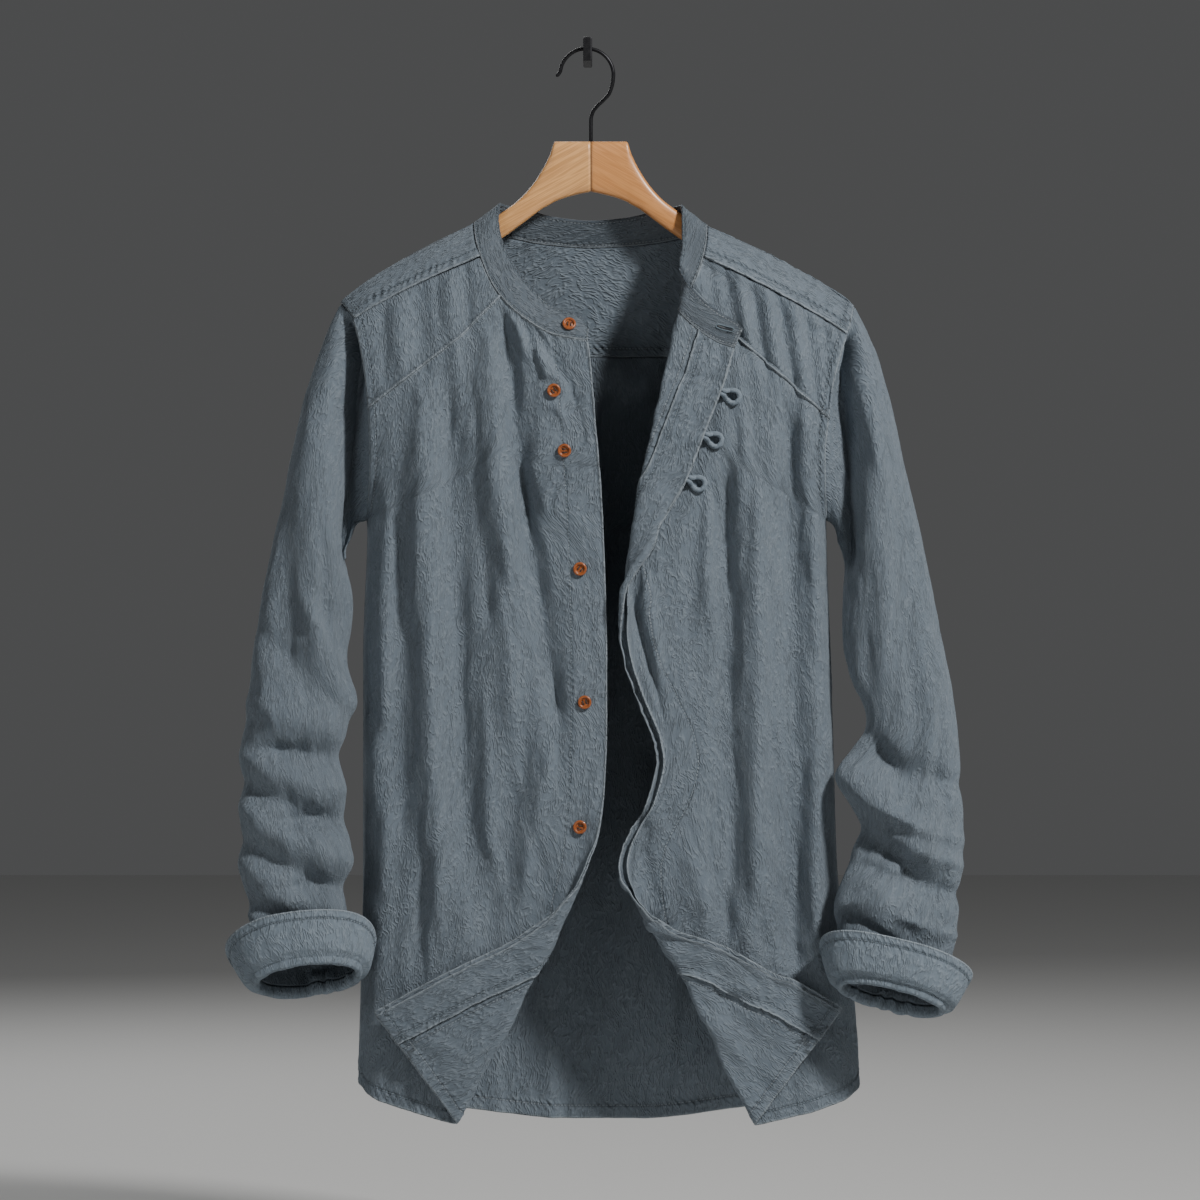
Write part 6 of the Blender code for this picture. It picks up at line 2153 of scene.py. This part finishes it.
@dataclass
class Button(Assembly):
    """A turned button with a raised round rim, a dished middle, four holes and its thread."""

    number: int
    diameter: float = 12.2
    thick: float = 2.6
    hole: float = 1.5
    pitch: float = 2.9
    bar_radius: float = 0.32
    steps: int = 56

    def profile(self) -> Array:
        """Radius and height from the middle of the top round to the middle of the back.

        Returns:
            One row for each point.
        """
        r, t = self.diameter / 2, self.thick
        return np.array([(0.0, 0.42 * t), (0.40 * r, 0.41 * t), (0.50 * r, 0.34 * t),
                         (0.575 * r, 0.30 * t), (0.60 * r, 0.70 * t), (0.66 * r, 0.93 * t),
                         (0.73 * r, t), (0.81 * r, 0.99 * t), (0.88 * r, 0.93 * t),
                         (0.93 * r, 0.80 * t), (0.955 * r, 0.6 * t), (0.95 * r, 0.35 * t),
                         (0.90 * r, 0.13 * t), (0.80 * r, 0.02 * t), (0.6 * r, 0.0),
                         (0.0, 0.0)])

    def mesh(self) -> bpy.types.Mesh:
        """Turn the profile round, close its poles and cut the four holes.

        Returns:
            The mesh about the button's own axis, with its back at height 0.
        """
        angle = turns(self.steps)
        radius, height = (column[1:-1, None] for column in self.profile().T)
        points = np.stack([radius * np.cos(angle), radius * np.sin(angle),
                           height + 0 * angle], axis=-1)
        mesh = grid_mesh("button", points, cloth_uv(points, True), closed=True, caps=True)
        body = bpy.data.objects.new("button_body", mesh)
        bm = bmesh.new()
        half = self.pitch / 2
        for x, y in ((-half, -half), (-half, half), (half, -half), (half, half)):
            made = bmesh.ops.create_cone(bm, cap_ends=True, segments=16, depth=8 * MM,
                                         radius1=self.hole / 2 * MM, radius2=self.hole / 2 * MM)
            bmesh.ops.translate(bm, verts=made["verts"], vec=(x * MM, y * MM, 0))
        holes = bpy.data.meshes.new("holes")
        bm.to_mesh(holes)
        bm.free()
        cutter = bpy.data.objects.new("button_cutter", holes)
        for made in (body, cutter):
            bpy.context.scene.collection.objects.link(made)
        cut = body.modifiers.new("holes", "BOOLEAN")
        cut.object, cut.solver = cutter, "EXACT"
        bpy.context.view_layer.update()
        graph = bpy.context.evaluated_depsgraph_get()
        done = bpy.data.meshes.new_from_object(body.evaluated_get(graph))
        for made in (body, cutter):
            bpy.data.objects.remove(made)
        return done

    def build(self, shared: bpy.types.Mesh) -> None:
        """Put a button where its CAD node lies, and sew it on.

        Args:
            shared: the button's mesh about its own axis.
        """
        name = f"button_{self.number}"
        corners = node_points(name)
        middle = box_middle(corners)
        _, _, axes = np.linalg.svd(corners - corners.mean(axis=0), full_matrices=False)
        normal = axes[2] * -np.sign(axes[2][1])
        low = ((corners - middle) @ normal).min()
        turn = Vector(normal).to_track_quat("Z", "Y").to_matrix().to_4x4()
        spin = Matrix.Rotation(0.5 + 0.9 * self.number, 4, "Z")
        seat = Matrix.Translation(Vector((middle + normal * low) * MM)) @ turn @ spin
        mesh = shared.copy()
        mesh.transform(seat)
        mesh.shade_smooth()
        self.shop.place(f"{name}_piece", mesh, Kind.BUTTON, (name,), name)
        self.thread(seat, name)

    def thread(self, seat: Matrix, name: str) -> None:
        """Sew two bars of thread between the holes, each an arched tube.

        Args:
            seat: where the button lies.
            name: the button's name.
        """
        share = np.linspace(0, 1, 12)
        half = self.pitch / 2
        tubes = []
        for offset in (-0.22, 0.22):
            for side in (-half, half):
                x = mix(-half, half, share)
                z = 0.36 * self.thick + 0.7 * np.sin(math.pi * share) ** 0.6
                tubes.append(np.stack([x, side + offset + 0 * share, z], axis=-1))
        parts = [tube_mesh("bar", path, np.full(len(path), self.bar_radius), 8)
                 for path in tubes]
        mesh = joined(f"{name}_thread", parts)
        mesh.transform(seat)
        self.shop.place(f"{name}_thread", mesh, Kind.DARK_THREAD, (), name)


def tube_points(path: Array, radius: Array, sides: int) -> Array:
    """Rings of points round a path.

    Args:
        path: the path's points.
        radius: the tube's radius at each.
        sides: points in each ring.

    Returns:
        Rows by sides by 3. Each ring's first direction is the last one's, made square to the
        path there, so the tube doesn't twist.
    """
    way = unit(np.gradient(path, axis=0))
    first = np.cross(way[0], (0.0, 1.0, 0.0))
    if np.linalg.norm(first) < 1e-3:
        first = np.cross(way[0], (1.0, 0.0, 0.0))
    frames = []
    for direction in way:
        first = unit(first - direction * np.dot(first, direction))
        frames.append(first)
    first = np.array(frames)
    second = np.cross(way, first)
    angle = turns(sides)[None, :, None]
    ring = first[:, None] * np.cos(angle) + second[:, None] * np.sin(angle)
    return path[:, None] + ring * radius[:, None, None]


def tube_mesh(name: str, path: Array, radius: Array, sides: int) -> bpy.types.Mesh:
    """A closed tube round a path."""
    points = tube_points(path, radius, sides)
    return grid_mesh(name, points, cloth_uv(points, True), closed=True, caps=True)


def joined(name: str, parts: list[bpy.types.Mesh]) -> bpy.types.Mesh:
    """One mesh of several closed ones, which are used up.

    Args:
        name: the new mesh's name.
        parts: the meshes.

    Returns:
        The mesh, with its faces turned outwards.
    """
    bm = bmesh.new()
    for part in parts:
        bm.from_mesh(part)
        bpy.data.meshes.remove(part)
    bmesh.ops.recalc_face_normals(bm, faces=bm.faces)
    mesh = bpy.data.meshes.new(name)
    bm.to_mesh(mesh)
    bm.free()
    mesh.shade_smooth()
    return mesh


@dataclass
class Loops(Assembly):
    """The three eyes of turned cloth cord at the loop side's free edge."""

    front: Front
    cord: float = 4.5
    gap: float = 0.6
    open_by: float = 0.84
    sink: float = 9.0
    rows: Columns = field(default_factory=lambda: table(
        "z length height", (-289.5, 18.5, 13.4), (-326.5, 18, 13.4), (-363, 18, 13.4)))

    def build(self) -> None:
        """Make the eyes: a drop-shaped path whose two ends go in between front and facing."""
        edge = self.front.grid[:, -1]
        for number, (z, length, height) in enumerate(zip(*self.rows.values()), start=1):
            root, above, below = (np.array([np.interp(-at, -edge[:, 2], edge[:, axis])
                                            for axis in range(3)])
                                  for at in (z, z + height / 2, z - height / 2))
            up = unit((above - below) * (1, 0, 1))
            out = np.array([up[2], 0, -up[0]])
            angle = np.linspace(-self.open_by * math.pi, self.open_by * math.pi, 64)
            reach = (length / 2 - self.cord / 2) * np.cos(angle)
            along_out = reach - reach.min() + self.cord / 2 + self.gap
            across = (height / 2) * np.sin(angle) * (0.76 + 0.24 * np.cos(angle))
            path = root + along_out[:, None] * out + across[:, None] * up
            tail = np.linspace(4, 0.6, 6)[:, None]
            path = np.vstack([path[0] - out * tail, path, path[-1] - out * tail[::-1]])
            turn = np.linspace(0, 1, len(path))
            lean = 0.5 * np.sin(turn * math.tau)
            sink = self.sink * step_between(-1, 6, (path - root) @ out)
            path[:, 1] += lean - 0.3 + sink
            ends = step_between(0, 0.07, np.minimum(turn, 1 - turn))
            radius = self.cord / 2 * (0.95 + 0.05 * np.sin(turn * 60)) * mix(0.45, 1.0, ends)
            name = f"loop_{number}"
            mesh = tube_mesh(name, path, radius, 20)
            # The cord's finish is a paler copy of the shirt's dye, painted light.
            self.shop.place(f"{name}_cord", mesh, Kind.LIT_CORD, (name,), name)


@dataclass
class Hanger(Assembly):
    """The wooden hanger in two mitred halves, with its black wire hook."""

    thick: float = 12.0
    top_x: float = 2.7
    under_ridge: float = 3.6
    arm_from: float = 98.0
    wire: float = 1.6
    grain_slope: float = 30.0
    arc_radius: float = 23.0
    arc_middle: tuple[float, float] = (-0.85, -16.2)
    wood: Columns = field(default_factory=lambda: table(
        "x top bottom", (2.8, -73, -115.9), (20, -73, -119.8), (33.2, -73, -124.5),
        (37.5, -84, -127), (44, -97, -130.5), (54, -112, -138), (66, -124.5, -147),
        (80, -134.6, -157), (98, -146.6, -168), (135, -163.2, -184.5),
        (170, -180.4, -199), (188, -190.6, -206), (194, -195.5, -203.5)))
    neck: Columns = field(default_factory=lambda: table(
        "x z", (18.6, -31.5), (13.6, -37.4), (8.2, -42.6), (4.3, -48), (2.9, -54), (2.8, -62),
        (2.8, -72.6)))

    def half(self, side: int) -> None:
        """Make one half: rounded sections from the mitre to the tip.

        Each section's depth is |cos| ** 0.55 and its height |sin| ** 0.8, so the edges are
        softly rounded.

        Args:
            side: -1 on the left and 1 on the right.
        """
        share = np.linspace(0, 1, 96)
        knots = np.linspace(0, 1, len(self.wood["x"]))
        offset = smooth(share, knots, self.wood["x"]) - self.top_x
        top = smooth(offset + self.top_x, self.wood["x"], self.wood["top"])
        low = smooth(offset + self.top_x, self.wood["x"], self.wood["bottom"])
        x = self.top_x + side * (offset + 0.15)
        if side < 0:
            ridge = shoulder_z(x) - self.under_ridge
            arm = np.clip((offset - self.arm_from + 12) / 20, 0, 1)
            depth = top - low
            top = mix(top, np.minimum(ridge, top + 8), arm)
            low = top - depth
        middle, half = (top + low) / 2, (top - low) / 2
        thick = self.thick / 2 * np.interp(share, (0, 0.6, 1), (1, 0.92, 0.75))
        angle = (np.arange(40) + 0.5) * (math.tau / 40)
        points = np.stack([x[:, None] + 0 * angle,
                           HANGER_Y + thick[:, None] * rounded(np.cos(angle), 0.55),
                           middle[:, None] + half[:, None] * rounded(np.sin(angle), 0.8)],
                          axis=-1)
        if side > 0:
            points = points[:, ::-1]
        wrapped = wrap(points)
        out, up = (wrapped[..., 0] - self.top_x) * side, wrapped[..., 2]
        slope = math.radians(self.grain_slope)
        uv = np.stack([out * math.cos(slope) - up * math.sin(slope) + 500 * side,
                       out * math.sin(slope) + up * math.cos(slope)], axis=-1)
        name = f"hanger_wood_{HAND[side]}"
        mesh = grid_mesh(name, points, uv, closed=True, caps=True)
        kind = Kind.WOOD if side < 0 else Kind.DEEP_WOOD
        self.shop.place(f"{name}_piece", mesh, kind, (name,), name)

    def hook(self) -> None:
        """Make the wire: a round tip, an arc over the wall hook, a neck and a stem."""
        middle_x, middle_z = self.arc_middle
        angle = np.radians(np.linspace(172, -22, 70))
        arc = np.stack([middle_x + self.arc_radius * np.cos(angle),
                        middle_z + self.arc_radius * np.sin(angle)], axis=-1)
        tip = arc[:1] + np.array([[-3.2, -4.4]])
        knots = np.vstack([tip, arc[::5], np.stack([self.neck["x"], self.neck["z"]], axis=-1)])
        steps = run_along(knots)
        at = np.linspace(0, steps[-1], 150)
        x, z = (smooth(at, steps, column) for column in knots.T)
        path = np.stack([x, np.full(len(at), HANGER_Y), z], axis=-1)
        radius = self.wire * np.sqrt(np.clip(1 - (1 - at / 2.0).clip(0) ** 2, 0.02, 1))
        mesh = tube_mesh("hanger_hook", path, radius, 18)
        self.shop.place("hanger_hook_piece", mesh, Kind.WIRE, ("hanger_hook",), "hanger_hook")

    def build(self) -> None:
        """Make both halves and the hook."""
        self.half(-1)
        self.half(1)
        self.hook()


def dress_wall_hook(shop: Workshop) -> None:
    """Give the CAD wall hook its dark coated metal.

    Args:
        shop: gives the material.
    """
    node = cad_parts["wall_hook"]
    node.data.materials.clear()
    node.data.materials.append(shop.material(Kind.HOOK))


@dataclass
class Studio(Assembly):
    """Pale floor, soft lights and a camera square to the wall."""

    floor_z: float = -1.06
    floor_reach: float = 7.0
    distance: float = 4.6
    target: tuple[float, float, float] = (0.0106, -0.09, -0.4658)
    frame_width: float = 1.02
    sensor: float = 36.0
    sky: tuple[float, float, float] = (0.78, 0.79, 0.8)
    sky_strength: float = 0.10

    def floor(self) -> None:
        """Lay the floor."""
        mesh = bpy.data.meshes.new("floor")
        corners = [(x * self.floor_reach, y * self.floor_reach, self.floor_z)
                   for x, y in ((-1, -1), (1, -1), (1, 1), (-1, 1))]
        mesh.from_pydata(corners, [], [(0, 1, 2, 3)])
        mesh.materials.append(self.shop.material(Kind.STAGE))
        made = bpy.data.objects.new("floor", mesh)
        bpy.context.scene.collection.objects.link(made)

    def lamp(self, name: str, place: tuple[float, float, float], size: float, power: float,
             colour: tuple[float, float, float] = (1.0, 1.0, 1.0)) -> None:
        """Hang one square soft light that looks at the shirt's middle.

        Args:
            name: its name.
            place: where it hangs, in metres.
            size: its width in metres.
            power: its power in watts.
            colour: its colour.
        """
        light = bpy.data.lights.new(name, "AREA")
        light.size, light.energy, light.color = size, power, colour
        made = bpy.data.objects.new(name, light)
        made.location = place
        aim = Vector(self.target) - Vector(place)
        made.rotation_euler = aim.to_track_quat("-Z", "Y").to_euler()
        bpy.context.scene.collection.objects.link(made)

    def build(self) -> None:
        """Set up floor, lights, world and camera."""
        self.floor()
        self.lamp("key_light", (1.7, -1.9, 1.5), 0.36, 116, (1.0, 0.99, 0.98))
        self.lamp("fill_light", (-1.9, -2.2, 0.3), 1.2, 11)
        self.lamp("back_light", (-0.8, 2.4, 1.2), 1.6, 32)
        world = bpy.data.worlds.new("studio")
        bpy.context.scene.world = world
        world.use_nodes = True
        back = world.node_tree.nodes["Background"]
        back.inputs["Color"].default_value = opaque(self.sky)
        back.inputs["Strength"].default_value = self.sky_strength
        camera = bpy.data.cameras.new("camera")
        camera.sensor_width = self.sensor
        camera.lens = self.sensor * self.distance / self.frame_width
        camera.clip_end = 60
        made = bpy.data.objects.new("camera", camera)
        made.location = Vector(self.target) + Vector((0, -self.distance, 0))
        made.rotation_euler = (math.pi / 2, 0, 0)
        bpy.context.scene.collection.objects.link(made)
        bpy.context.scene.camera = made


def write_sizes() -> None:
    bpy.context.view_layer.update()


def main() -> None:
    """Build the studio and every sub-assembly in order."""
    logging.basicConfig(level=logging.INFO, format="%(name)s: %(message)s")
    shop = Workshop()
    Studio(shop).build()
    Hanger(shop).build()
    dress_wall_hook(shop)
    fronts = {side: Front(shop, side) for side in (-1, 1)}
    Yoke(shop).build()
    Back(shop).build()
    for side, front in fronts.items():
        Chest(shop, side).build()
        front.build()
    Collar(shop, fronts[1]).build()
    for side in (-1, 1):
        Sleeve(shop, side).build()
        Cuff(shop, side).build()
    shared = Button(shop, 0).mesh()
    for number in BUTTONS:
        Button(shop, number).build(shared)
    Loops(shop, fronts[1]).build()
    write_sizes()


if __name__ == "__main__":
    main()
